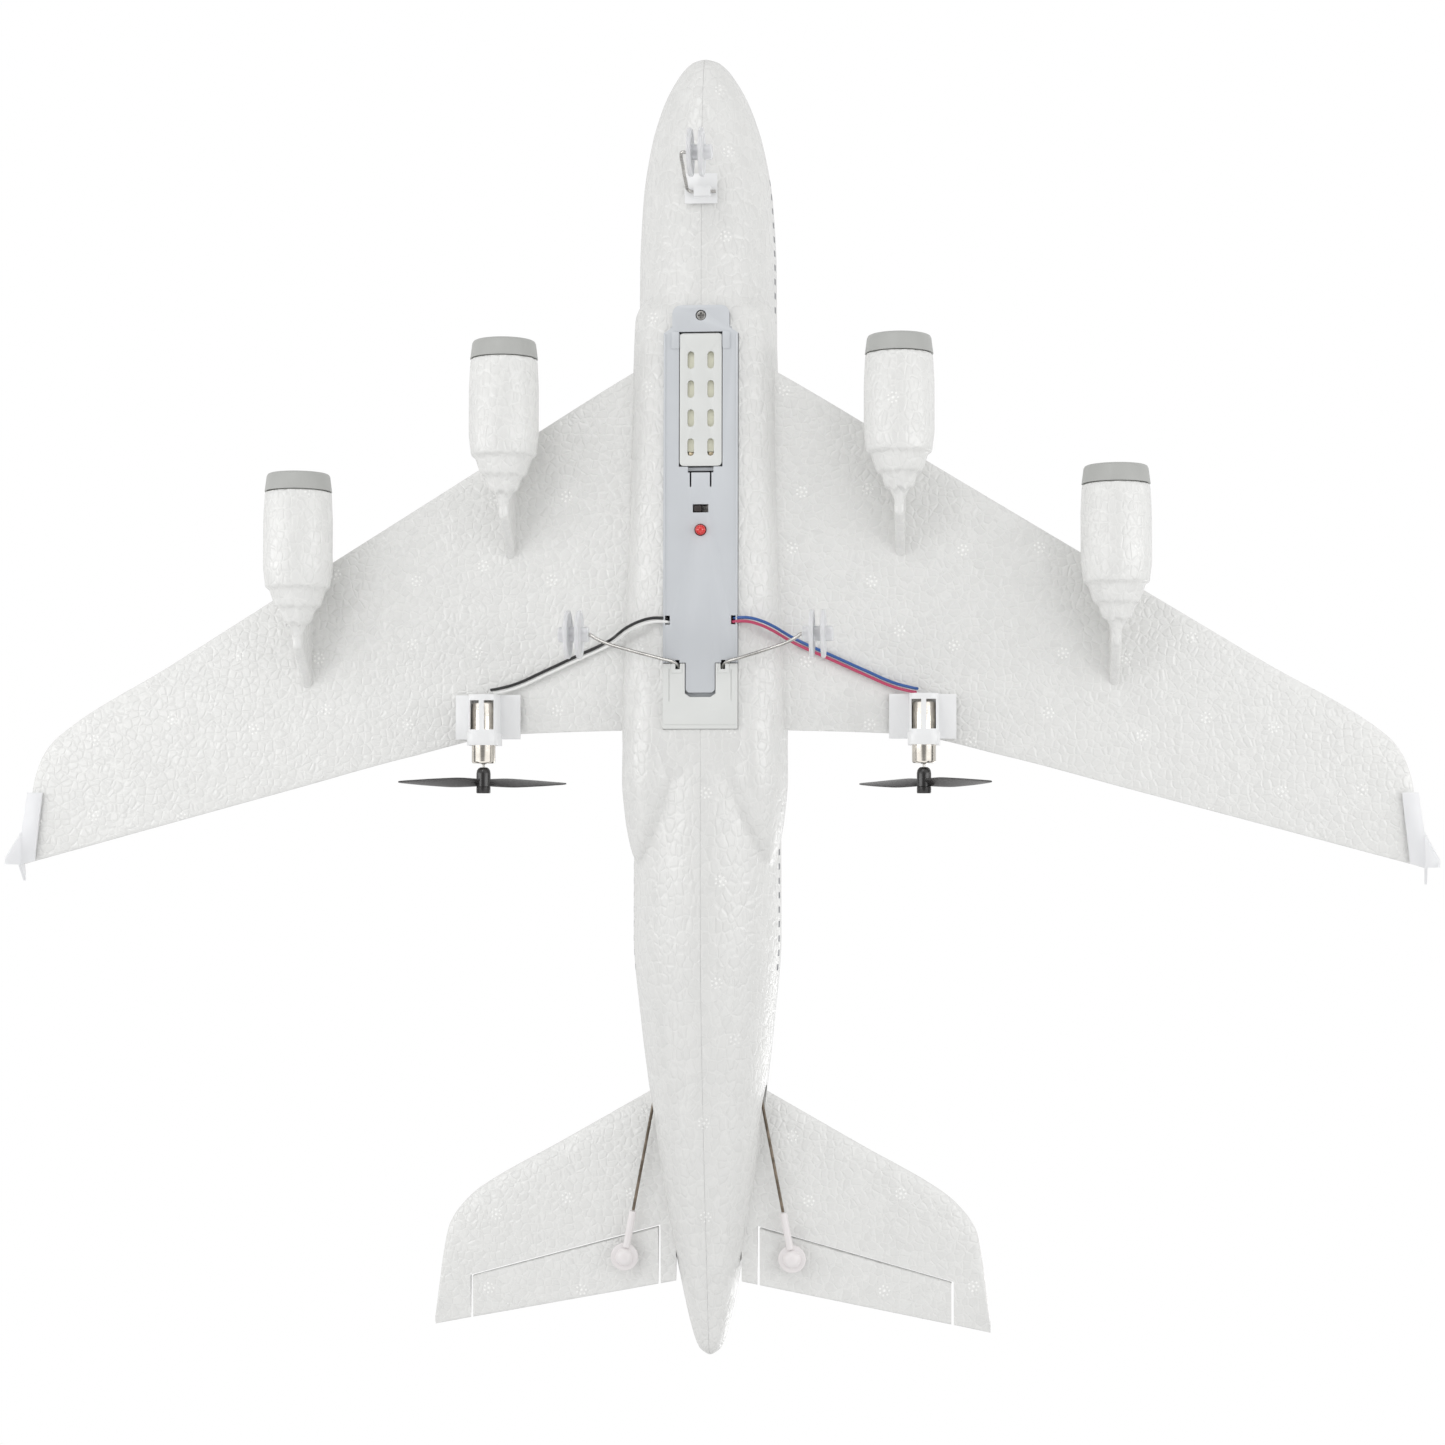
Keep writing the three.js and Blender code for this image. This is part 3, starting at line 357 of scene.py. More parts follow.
def refined(node, width, segments=2, angle=35, filled=(), cut=()):
    """A copy of a frame part, with blocks filled in and cut out, whole flat faces and rounded edges."""
    piece = bpy.data.objects.new(node + "_copy", frame["nodes"][node].data.copy())
    bpy.context.scene.collection.objects.link(piece)
    piece.data.materials.clear()
    activate(piece)
    bpy.ops.mesh.customdata_custom_splitnormals_clear()
    edit(piece)
    bpy.ops.mesh.remove_doubles(threshold=0.002 * MM)
    bpy.ops.mesh.dissolve_limited(angle_limit=math.radians(1))
    leave_edit()
    for low, high in filled:
        combine(piece, block(low, high), "UNION")
    for low, high in cut:
        combine(piece, block(low, high), "DIFFERENCE")
    if filled or cut:
        edit(piece)
        bpy.ops.mesh.dissolve_limited(angle_limit=math.radians(1))
        leave_edit()
    return rounded(piece, width, segments, angle)


def finish(piece, name, body, look, replaces, smooth=35):
    """Names the piece, smooths it and hands it to the frame."""
    piece.name = name
    piece.data.name = name
    activate(piece)
    bpy.ops.object.transform_apply(location=True, rotation=True, scale=True)
    bpy.ops.object.shade_smooth_by_angle(angle=math.radians(smooth))
    piece.data.materials.clear()
    piece.data.materials.append(MATERIALS[look])
    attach(piece, body)
    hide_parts(*replaces)


def finish_pair(piece, name, body, look, node, smooth=35):
    """Finishes a left piece and its mirror image, where {} in the body stands for the side."""
    for side, made in (("left", piece), ("right", mirrored(piece))):
        finish(made, f"{name}_{side}", body.format(side), look, [f"{node}_{side}"], smooth)


# ---- smooth lofts
def eased(rows, place):
    """The row at a place among rows, on a smooth curve that never overshoots them."""
    i = min(int(place), len(rows) - 2)
    t = place - i

    def slope(k, column):
        return (rows[k + 1][column] - rows[k][column]) / (rows[k + 1][0] - rows[k][0])

    def tangent(k, column):
        if k == 0:
            return slope(0, column)
        if k == len(rows) - 1:
            return slope(k - 1, column)
        before, after = slope(k - 1, column), slope(k, column)
        return 0 if before * after <= 0 else 2 * before * after / (before + after)

    span = rows[i + 1][0] - rows[i][0]
    row = [rows[i][0] + t * span]
    for column in range(1, len(rows[0])):
        start, end = rows[i][column], rows[i + 1][column]
        leave, arrive = tangent(i, column) * span, tangent(i + 1, column) * span
        row.append(
            (2 * t**3 - 3 * t**2 + 1) * start + (t**3 - 2 * t**2 + t) * leave
            + (3 * t**2 - 2 * t**3) * end + (t**3 - t**2) * arrive
        )
    return row


def lofted(rows, section, segments, rings):
    """A closed skin: the rings of a ball become the sections along the rows, and its poles close the ends."""
    deselect()
    bpy.ops.mesh.primitive_uv_sphere_add(segments=segments, ring_count=rings, radius=1)
    piece = bpy.context.object
    for corner in piece.data.vertices:
        along = math.acos(max(-1, min(1, corner.co.z))) / math.pi
        row = eased(rows, along * (len(rows) - 1))
        at_pole = math.hypot(corner.co.x, corner.co.y) < 0.0001
        turn = math.atan2(corner.co.y, corner.co.x)
        corner.co = Vector(section(row, turn, 0 if at_pole else 1)) * MM
    return tidy_skin(piece)


def hull_section(grow, squareness):
    """A rounded section across the fuselage, grown by a clearance or shrunk by a wall."""
    power = 2 / squareness

    def section(row, turn, reach):
        y, half_width, bottom, top = row
        across, height = (math.copysign(abs(part) ** power, part) for part in (math.cos(turn), math.sin(turn)))
        across *= max(half_width + grow, 0.01)
        height *= max((top - bottom) / 2 + grow, 0.01)
        return reach * across, y, (top + bottom) / 2 + reach * height

    return section


def lobe_section(sign):
    def section(row, turn, reach):
        y, half_width, bottom, top, middle = row
        across = middle + reach * math.cos(turn) * half_width
        return sign * across, y, (top + bottom) / 2 + reach * math.sin(turn) * (top - bottom) / 2

    return section


def skin(chord, side, thickness, share):
    """Height of a lifting surface's skin over its chord."""
    root = math.sqrt(chord)
    depth = 2.969 * root - 1.26 * chord - 3.516 * chord**2 + 2.843 * chord**3 - 1.015 * chord**4
    edge = EDGE * chord * min(1, 4 * abs(side))
    return math.copysign(1, side) * (max(depth, 0) * thickness * share + edge) if abs(side) > 1e-6 else 0


def wing_section(row, turn, reach):
    x, leading, trailing, thickness = row
    side = math.sin(turn) * reach
    chord = (1 - math.cos(turn) * reach) / 2
    share = WING_UPPER_SHARE if side > 0 else 1 - WING_UPPER_SHARE
    middle = WING_ROOT[1] + (x - WING_ROOT[0]) * SLOPE + (1 - WING_UPPER_SHARE) * thickness
    return x, leading + (trailing - leading) * chord, middle + skin(chord, side, thickness, share)


def tailplane_section(row, turn, reach):
    x, leading, trailing, thickness = row
    chord = (1 - math.cos(turn) * reach) / 2
    middle = TAILPLANE_ROOT[1] + (x - TAILPLANE_ROOT[0]) * SLOPE
    proud = skin(chord, math.sin(turn) * reach, thickness, 0.5)
    return x, leading + (trailing - leading) * chord, middle + proud


def fin_section(row, turn, reach):
    z, leading, trailing, thickness = row
    chord = (1 - math.cos(turn) * reach) / 2
    return skin(chord, math.sin(turn) * reach, thickness, 0.5), leading + (trailing - leading) * chord, z


def halved(piece, x):
    """Cuts a piece along an upright plane and fills the cut, keeping the +X part."""
    edit(piece)
    bpy.ops.mesh.bisect(plane_co=(x * MM, 0, 0), plane_no=(1, 0, 0), use_fill=True, clear_inner=True)
    leave_edit()
    return piece


# ---- shader groups and materials
def put(tree, kind, inputs=None, **settings):
    """Adds a node, sets it and fills or links its inputs."""
    node = tree.nodes.new("ShaderNode" + kind)
    for key, value in settings.items():
        setattr(node, key, value)
    for key, value in (inputs or {}).items():
        if isinstance(value, bpy.types.NodeSocket):
            tree.links.new(value, node.inputs[key])
        else:
            node.inputs[key].default_value = value
    return node


def math_node(tree, operation, a, b=0.0, c=0.0):
    return put(tree, "Math", {0: a, 1: b, 2: c}, operation=operation).outputs[0]


def vector_node(tree, operation, a, b):
    second = 3 if operation == "SCALE" else 1
    return put(tree, "VectorMath", {0: a, second: b}, operation=operation).outputs[0]


def split(tree, vector):
    """The X, Y and Z of a vector."""
    return put(tree, "SeparateXYZ", {0: vector}).outputs


def noise(tree, vector, scale, detail, **more):
    return put(tree, "TexNoise", {"Vector": vector, "Scale": scale, "Detail": detail, **more}).outputs


def remap(tree, value, low, high, out_low=0.0, out_high=1.0, smooth=True):
    kind = "SMOOTHSTEP" if smooth else "LINEAR"
    inputs = {"Value": value, "From Min": low, "From Max": high, "To Min": out_low, "To Max": out_high}
    return put(tree, "MapRange", inputs, interpolation_type=kind).outputs["Result"]


def blend_colours(tree, share, first, second):
    return put(tree, "Mix", {0: share, 6: first, 7: second}, data_type="RGBA").outputs[2]


def rgba(tint, scale=1.0):
    return (tint[0] * scale, tint[1] * scale, tint[2] * scale, 1.0)


def group(name, inputs, outputs):
    """An empty shader group with its named sockets, and its two end nodes."""
    tree = bpy.data.node_groups.new(name, "ShaderNodeTree")
    for label, kind, default in inputs:
        socket = tree.interface.new_socket(label, in_out="INPUT", socket_type=kind)
        if default is not None:
            socket.default_value = default
    for label, kind in outputs:
        tree.interface.new_socket(label, in_out="OUTPUT", socket_type=kind)
    return tree, tree.nodes.new("NodeGroupInput"), tree.nodes.new("NodeGroupOutput")


VECTOR, FLOAT, COLOUR = "NodeSocketVector", "NodeSocketFloat", "NodeSocketColor"


def bead_group():
    """Polygon cells of fused foam beads: their pale edges, their own tones and their low domes."""
    tree, start, end = group(
        "Foam beads", [("Vector", VECTOR, None), ("Bead size", FLOAT, 3.6 * MM), ("Stretch", FLOAT, 1.0)],
        [("Edge", FLOAT), ("Tone", FLOAT), ("Height", FLOAT), ("Gloss", FLOAT)])
    inverse = math_node(tree, "DIVIDE", 1.0, start.outputs["Bead size"])
    along = math_node(tree, "DIVIDE", inverse, start.outputs["Stretch"])
    stretch = put(tree, "CombineXYZ", {"X": inverse, "Y": along, "Z": inverse}).outputs[0]
    cells = vector_node(tree, "MULTIPLY", start.outputs["Vector"], stretch)
    bent = vector_node(tree, "SUBTRACT", noise(tree, cells, 0.9, 1.0)["Color"], (0.5, 0.5, 0.5))
    coords = vector_node(tree, "ADD", cells, vector_node(tree, "SCALE", bent, 0.55))
    rim = put(tree, "TexVoronoi", {"Vector": coords, "Scale": 1.0, "Randomness": 0.85},
              feature="DISTANCE_TO_EDGE").outputs["Distance"]
    cell = put(tree, "TexVoronoi", {"Vector": coords, "Scale": 1.0, "Randomness": 0.85})
    own = put(tree, "SeparateColor", {"Color": cell.outputs["Color"]})
    fine = noise(tree, cells, 3.2, 3.0, Roughness=0.6)[0]
    broad = noise(tree, cells, 0.12, 2.0)[0]
    edge = remap(tree, rim, 0.0, 0.07, 1.0, 0.0)
    tone = math_node(tree, "MULTIPLY_ADD", own.outputs[0], 0.5, math_node(tree, "MULTIPLY", broad, 0.5))
    dome = remap(tree, rim, 0.0, 0.22)
    height = math_node(tree, "MULTIPLY_ADD", fine, 0.45,
                       math_node(tree, "MULTIPLY_ADD", own.outputs[1], 0.35, dome))
    gloss = math_node(tree, "MULTIPLY_ADD", own.outputs[2], 0.6, math_node(tree, "MULTIPLY", fine, 0.4))
    for label, value in (("Edge", edge), ("Tone", tone), ("Height", height), ("Gloss", gloss)):
        tree.links.new(value, end.inputs[label])
    return tree


def vent_group():
    """The small flower-shaped marks that the mould's steam vents leave, scattered over flat foam."""
    tree, start, end = group(
        "Vent marks", [("Vector", VECTOR, None), ("Spacing", FLOAT, 29 * MM), ("Radius", FLOAT, 2.1 * MM)],
        [("Mark", FLOAT)])
    inverse = math_node(tree, "DIVIDE", 1.0, start.outputs["Spacing"])
    plan = vector_node(tree, "SCALE", start.outputs["Vector"], inverse)
    nearest = put(tree, "TexVoronoi", {"Vector": plan, "Scale": 1.0, "Randomness": 0.45},
                  voronoi_dimensions="2D")
    parts = split(tree, vector_node(tree, "SUBTRACT", plan, nearest.outputs["Position"]))
    reach = math_node(tree, "MULTIPLY", nearest.outputs["Distance"], start.outputs["Spacing"])
    share = math_node(tree, "DIVIDE", reach, start.outputs["Radius"])
    angle = math_node(tree, "ARCTAN2", parts[1], parts[0])
    petals = math_node(tree, "COSINE", math_node(tree, "MULTIPLY", angle, 7.0))
    off = math_node(tree, "ABSOLUTE", math_node(tree, "SUBTRACT", share, 0.82))
    ring = remap(tree, off, 0.08, 0.24, 1.0, 0.0)
    dots = math_node(tree, "MULTIPLY", ring, remap(tree, petals, -0.1, 0.5))
    middle = remap(tree, share, 0.12, 0.34, 1.0, 0.0)
    tree.links.new(math_node(tree, "MAXIMUM", dots, middle), end.inputs["Mark"])
    return tree


def grain_group():
    """Moulded plastic: a faint flow tone, a fine spark-eroded grain and light handling marks."""
    tree, start, end = group("Moulded grain", [("Vector", VECTOR, None), ("Grain size", FLOAT, 0.35 * MM)],
                             [("Tone", FLOAT), ("Height", FLOAT), ("Wear", FLOAT)])
    inverse = math_node(tree, "DIVIDE", 1.0, start.outputs["Grain size"])
    fine = noise(tree, vector_node(tree, "SCALE", start.outputs["Vector"], inverse), 1.0, 2.0)[0]
    flow = noise(tree, start.outputs["Vector"], 45.0, 2.0, Distortion=0.6)[0]
    streak_at = put(tree, "Mapping", {"Vector": start.outputs["Vector"], "Scale": (900.0, 140.0, 900.0)})
    streak = noise(tree, streak_at.outputs[0], 1.0, 3.0)[0]
    for label, value in (("Tone", flow), ("Height", fine), ("Wear", remap(tree, streak, 0.56, 0.72))):
        tree.links.new(value, end.inputs[label])
    return tree


def drawn_group():
    """Drawn or rolled metal: fine lines along the work and darker patches."""
    tree, start, end = group(
        "Drawn metal", [("Vector", VECTOR, None), ("Line scale", VECTOR, (500.0, 60.0, 500.0))],
        [("Lines", FLOAT), ("Patch", FLOAT)])
    at = vector_node(tree, "MULTIPLY", start.outputs["Vector"], start.outputs["Line scale"])
    tree.links.new(noise(tree, at, 1.0, 3.0)[0], end.inputs["Lines"])
    tree.links.new(noise(tree, start.outputs["Vector"], 260.0, 2.0)[0], end.inputs["Patch"])
    return tree


GROUPS = {}


def material_tree(name, roughness=0.5, **constants):
    """A new material with its Principled shader, constants set on the shader's own sockets."""
    material = bpy.data.materials.new(name)
    material.use_nodes = True
    tree = material.node_tree
    shader = tree.nodes["Principled BSDF"]
    shader.inputs["Roughness"].default_value = roughness
    for label, value in constants.items():
        shader.inputs[label.replace("_", " ")].default_value = value
    coords = put(tree, "TexCoord").outputs["Object"]
    return material, tree, shader, coords


def use(tree, name, inputs):
    return put(tree, "Group", inputs, node_tree=GROUPS[name]).outputs


def bump(tree, shader, height, distance):
    normal = put(tree, "Bump", {"Height": height, "Distance": distance}).outputs[0]
    tree.links.new(normal, shader.inputs["Normal"])
    return normal


def foam_material(name, tint, bead, stretch=1.0, windows=False):
    """White bead foam: cells with paler veins, vent marks and a soft patchy gloss."""
    material, tree, shader, coords = material_tree(name, Coat_Weight=0.5, Coat_Roughness=0.16)
    beads = use(tree, "Foam beads", {"Vector": coords, "Bead size": bead, "Stretch": stretch})
    vents = use(tree, "Vent marks", {"Vector": coords})["Mark"]
    facing = split(tree, put(tree, "NewGeometry").outputs["Normal"])[2]
    flat = remap(tree, math_node(tree, "ABSOLUTE", facing), 0.7, 0.92)
    marks = math_node(tree, "MULTIPLY", vents, flat)
    base = blend_colours(tree, beads["Tone"], rgba(tint, 0.95), rgba(tint, 1.03))
    veined = blend_colours(tree, math_node(tree, "MULTIPLY", beads["Edge"], 0.34), base, rgba(tint, 1.13))
    marked = blend_colours(tree, math_node(tree, "MULTIPLY", marks, 0.8), veined, rgba(tint, 1.3))
    if windows:
        marked = blend_colours(tree, window_mask(tree, coords), marked, (0.12, 0.125, 0.14, 1))
    tree.links.new(marked, shader.inputs["Base Color"])
    tree.links.new(remap(tree, beads["Gloss"], 0.2, 0.8, 0.3, 0.6, smooth=False), shader.inputs["Roughness"])
    relief = math_node(tree, "MULTIPLY_ADD", marks, 0.6, beads["Height"])
    tree.links.new(bump(tree, shader, relief, 0.13 * MM), shader.inputs["Coat Normal"])
    return material


WINDOW_DECKS = (64.5, 52.5)  # heights of the two rows
WINDOW_SPACING = 5.2
WINDOWS_FROM, WINDOWS_TO = -196, 96


def window_mask(tree, coords):
    """Two decks of small cabin windows along both sides, printed on the foam."""
    x, y, z = split(tree, coords)
    pitch = math_node(tree, "PINGPONG", math_node(tree, "DIVIDE", y, WINDOW_SPACING * MM), 0.5)
    wide = remap(tree, pitch, 0.19, 0.24, 1.0, 0.0)
    run = math_node(tree, "MULTIPLY", math_node(tree, "GREATER_THAN", y, WINDOWS_FROM * MM),
                    math_node(tree, "LESS_THAN", y, WINDOWS_TO * MM))
    decks = []
    for height in WINDOW_DECKS:
        off = math_node(tree, "ABSOLUTE", math_node(tree, "SUBTRACT", z, height * MM))
        decks.append(remap(tree, off, 1.15 * MM, 1.35 * MM, 1.0, 0.0))
    side = math_node(tree, "GREATER_THAN", math_node(tree, "ABSOLUTE", x), 9 * MM)
    rows = math_node(tree, "MULTIPLY", wide, math_node(tree, "MAXIMUM", *decks))
    return math_node(tree, "MULTIPLY", math_node(tree, "MULTIPLY", rows, run), side)


def plastic_material(name, tint, roughness, grain=0.35, relief=0.012, inside=None, constants=None):
    """Moulded plastic with a faint flow tone, fine grain and light handling marks, and painted shade that makes it
    darker above a height.
    """
    material, tree, shader, coords = material_tree(name, roughness, **(constants or {}))
    detail = use(tree, "Moulded grain", {"Vector": coords, "Grain size": grain * MM})
    base = blend_colours(tree, detail["Tone"], rgba(tint, 0.95), rgba(tint, 1.04))
    # painted shade: above the given height the colour is darkened, as if the part lay in the shadow of its bay
    if inside:
        height = split(tree, coords)[2]
        deep = remap(tree, height, inside * MM, (inside + 1) * MM)
        base = blend_colours(tree, deep, base, rgba(tint, 0.88))
    tree.links.new(base, shader.inputs["Base Color"])
    rough = math_node(tree, "MULTIPLY_ADD", detail["Wear"], 0.12, roughness - 0.03)
    tree.links.new(math_node(tree, "MULTIPLY_ADD", detail["Tone"], 0.06, rough), shader.inputs["Roughness"])
    bump(tree, shader, detail["Height"], relief * MM)
    return material


def metal_material(name, tint, roughness, line_scale, dark=0.6):
    """Bare metal with fine lines from drawing or rolling."""
    material, tree, shader, coords = material_tree(name, roughness, Metallic=1.0)
    detail = use(tree, "Drawn metal", {"Vector": coords, "Line scale": line_scale})
    base = blend_colours(tree, remap(tree, detail["Patch"], 0.3, 0.7), rgba(tint, dark), rgba(tint, 1.15))
    tree.links.new(base, shader.inputs["Base Color"])
    rough = remap(tree, detail["Lines"], 0.3, 0.7, roughness - 0.07, roughness + 0.1)
    tree.links.new(rough, shader.inputs["Roughness"])
    bump(tree, shader, detail["Lines"], 0.001 * MM)
    return material


def smoked_material(settings, axis_at):
    """Smoked plastic: black at the hub, see-through grey along the blades."""
    material, tree, shader, coords = material_tree("Smoked propeller", 0.22)
    x, _, z = split(tree, coords)
    across = math_node(tree, "SUBTRACT", math_node(tree, "ABSOLUTE", x), axis_at[0] * MM)
    up = math_node(tree, "SUBTRACT", z, axis_at[2] * MM)
    squares = math_node(tree, "MULTIPLY_ADD", up, up, math_node(tree, "MULTIPLY", across, across))
    reach = math_node(tree, "SQRT", squares)
    blade = remap(tree, reach, 2.8 * MM, 6 * MM)
    detail = use(tree, "Moulded grain", {"Vector": coords, "Grain size": 0.5 * MM})
    base = blend_colours(tree, blade, rgba(settings.smoke), rgba(settings.smoke, 6.0))
    base = blend_colours(tree, detail["Tone"], base, rgba(settings.smoke, 4.0))
    tree.links.new(base, shader.inputs["Base Color"])
    tree.links.new(remap(tree, blade, 0.0, 1.0, 1.0, settings.opacity), shader.inputs["Alpha"])
    tree.links.new(math_node(tree, "MULTIPLY_ADD", detail["Tone"], 0.12, 0.17), shader.inputs["Roughness"])
    bump(tree, shader, detail["Height"], 0.01 * MM)
    return material


MATERIALS = {}


def make_materials(scene):
    foam, plastic, metal = scene.foam_settings, scene.plastic_settings, scene.metal_settings
    leads = scene.lead_settings
    GROUPS.update({
        "Foam beads": bead_group(), "Vent marks": vent_group(), "Moulded grain": grain_group(),
        "Drawn metal": drawn_group(),
    })
    plastics = {  # name, colour, roughness, grain size, relief, height above which shade is painted, constants
        # the tray is drawn darker above 27.6 mm: painted shade where it lies deep in the belly
        "tray": ("Tray plastic", plastic.tray, 0.3, 0.35, 0.012, 27.6),
        "door": ("Door plastic", plastic.door, 0.36),
        "mount": ("Motor mount plastic", plastic.mount, 0.3),
        "link": ("Nylon link", (0.76, 0.73, 0.73), 0.36),
        "ring": ("Intake ring film", plastic.ring, 0.42, 0.5, 0.02),
        "frosted": ("Frosted plastic", plastic.frosted, 0.3, 0.4, 0.01, None, {"Transmission_Weight": 0.25}),
        "wheel": ("Clear wheel plastic", plastic.frosted, 0.3, 0.4, 0.01, None, {"Transmission_Weight": 0.45}),
        "dark": ("Dark plastic", (0.03, 0.022, 0.02), 0.45, 0.3, 0.02),
        "led": ("Red lamp", (0.62, 0.02, 0.018), 0.08, 0.6, 0.004, None, {"Coat_Weight": 0.6}),
        "battery": ("Battery film", (0.86, 0.85, 0.7), 0.4, 0.8, 0.03),
        "board": ("Circuit board", (0.03, 0.15, 0.07), 0.35, 0.6, 0.03),
        "servo": ("Servo case", (0.03, 0.09, 0.3), 0.25, 0.4, 0.01, None, {"Transmission_Weight": 0.2}),
        "arm": ("White nylon", (0.78, 0.78, 0.77), 0.35),
        "blue": ("Blue insulation", leads.blue, 0.32, 0.4, 0.008),
        "red": ("Red insulation", leads.red, 0.32, 0.4, 0.008),
        "black": ("Black insulation", leads.black, 0.3, 0.4, 0.008),
        "white": ("White insulation", leads.white, 0.32, 0.4, 0.008),
    }
    MATERIALS.update({key: plastic_material(*row) for key, row in plastics.items()})
    MATERIALS.update({
        "fuselage": foam_material("Foam, fuselage", rgba(foam.tint, 0.95), foam.bead, 1.45, windows=True),
        "wing": foam_material("Foam, wing", foam.tint, foam.bead),
        "nacelle": foam_material("Foam, nacelle", foam.tint, foam.bead * 0.9, 1.5),
        "wire": metal_material("Drawn steel wire", metal.steel, 0.24, (500.0, 60.0, 500.0), dark=0.9),
        "rod": metal_material("Browned rod", (0.2, 0.165, 0.13), 0.35, (500.0, 60.0, 500.0)),
        "pressing": metal_material("Pressed steel", metal.steel, 0.34, (1800.0, 300.0, 1800.0)),
        "contact": metal_material("Plated contact", (0.62, 0.52, 0.36), 0.25, (900.0, 2500.0, 900.0)),
        "can": metal_material("Motor can", metal.can, 0.13, (220.0, 3200.0, 220.0), dark=0.95),
        "smoke": smoked_material(scene.propeller_settings, joint_at("propeller_left_spin")),
    })


# ---- operators: the foam
class PIECES_OT_fuselage(bpy.types.Operator):
    """Moulds the two foam halves of the fuselage with the bay for the tray"""
    bl_idname = "airliner.fuselage"
    bl_label = "Fuselage Halves"

    def execute(self, context):
        foam = context.scene.foam_settings
        whole = lofted(FUSELAGE, hull_section(0, 2), 96, 170)
        combine(whole, lofted(FAIRING, hull_section(0, 3), 96, 90), "UNION")
        for sign in (1, -1):
            combine(whole, lofted(LOBE, lobe_section(sign), 64, 80), "UNION")
        resurfaced(whole, foam.grid, 2)
        deep = [row for row in FUSELAGE if row[1] > 2 * FOAM_WALL]
        combine(whole, lofted(deep, hull_section(-FOAM_WALL, 2), 40, 60), "DIFFERENCE")
        tray = frame_box("chassis_tray")
        clamp = frame_box("gear_clamp")
        peg = frame_box("nose_gear_bracket")
        shoulder = tray[0].y + 8
        tab = 10.2 + SNUG
        side = tray[1].x + SNUG
        front, back = tray[0].y - SNUG, clamp[1].y + SNUG
        around = [
            (side, back), (side, shoulder + 2), (tab, shoulder), (tab, front + 3), (tab - 0.9, front + 0.9),
            (tab - 3, front),
        ]
        outline = [*around, *[(-x, y) for x, y in reversed(around)]]
        combine(whole, prism(outline, 15, 45), "DIFFERENCE")
        combine(whole, block((-3, -187.8, 15), (3, -182.2, peg[1].z + CLEARANCE)), "DIFFERENCE")
        for sign in (1, -1):
            ends = [ROD_FRONT.lerp(ROD_BACK, share) for share in (0.5, 0.85)]
            combine(whole, wire([(sign * x, y, z) for x, y, z in ends], 3 * MM, 4, 1), "DIFFERENCE")
        if len(whole.data.polygons) == 0:
            raise RuntimeError("the fuselage came out empty")
        halved(whole, SEAM)
        finish_pair(whole, "fuselage_shell", "airframe", "fuselage", "fuselage", 40)
        return {"FINISHED"}


class PIECES_OT_wings(bpy.types.Operator):
    """Lofts the two wings"""
    bl_idname = "airliner.wings"
    bl_label = "Wings"

    def execute(self, context):
        wing = halved(lofted(WING, wing_section, 96, 150), 24.5)
        finish_pair(wing, "wing_skin", "airframe", "wing", "wing", 40)
        return {"FINISHED"}


def elevator_plan(hinge_gap, end_gap):
    """A block that holds the elevator, grown by its clearances."""
    inner, outer = HINGE_IN[0] - end_gap, HINGE_OUT[0] + end_gap
    near = HINGE_IN[1] + (inner - HINGE_IN[0]) * HINGE_SLOPE - hinge_gap
    far = HINGE_IN[1] + (outer - HINGE_IN[0]) * HINGE_SLOPE - hinge_gap
    return prism([(inner, near), (outer, far), (outer, 260), (inner, 260)], 40, 100)


class PIECES_OT_tail(bpy.types.Operator):
    """Lofts the tailplane, its elevators and the fin"""
    bl_idname = "airliner.tail"
    bl_label = "Tail Surfaces"

    def execute(self, context):
        whole = lofted(TAILPLANE, tailplane_section, 72, 90)
        flap = whole.copy()
        flap.data = whole.data.copy()
        context.scene.collection.objects.link(flap)
        combine(whole, elevator_plan(HINGE_GAP / 2, ELEVATOR_END_GAP), "DIFFERENCE")
        combine(flap, elevator_plan(-HINGE_GAP / 2, 0), "INTERSECT")
        halved(whole, 12)
        self.round_nose(flap)
        finish_pair(whole, "tailplane_skin", "airframe", "wing", "tailplane", 40)
        finish_pair(flap, "elevator_skin", "elevator_{}", "wing", "elevator", 40)
        fin = lofted(FIN, fin_section, 72, 80)
        finish(fin, "fin_skin", "airframe", "wing", ["fin"], 40)
        return {"FINISHED"}

    def round_nose(self, flap):
        """Brings the elevator's hinge edge forward to a thin lip, as the moulded hinge has."""
        forward = Vector((HINGE_SLOPE, -1, 0)).normalized()
        edit(flap)
        bpy.ops.mesh.select_mode(type="FACE")
        bpy.ops.mesh.select_all(action="DESELECT")
        leave_edit()
        for face in flap.data.polygons:
            face.select = face.normal.dot(forward) > 0.95 and face.area > 20 * MM * MM
        edit_selected(flap)
        bpy.ops.mesh.extrude_region_move(TRANSFORM_OT_translate={"value": forward * LIP * MM})
        bpy.ops.mesh.select_mode(type="VERT")
        leave_edit()
        for vertex in flap.data.vertices:
            if vertex.select:
                middle = TAILPLANE_ROOT[1] * MM + (abs(vertex.co.x) - TAILPLANE_ROOT[0] * MM) * SLOPE
                vertex.co.z = middle + (vertex.co.z - middle) * LIP_THICKNESS


NACELLES = {"inner": (70.6, -130.6), "outer": (146.8, -84.5)}  # x and front y
NACELLE_DROP = 16
NACELLE_RADIUS = 12.5
RING_LENGTH = 6.4
NACELLE_LENGTH = 60


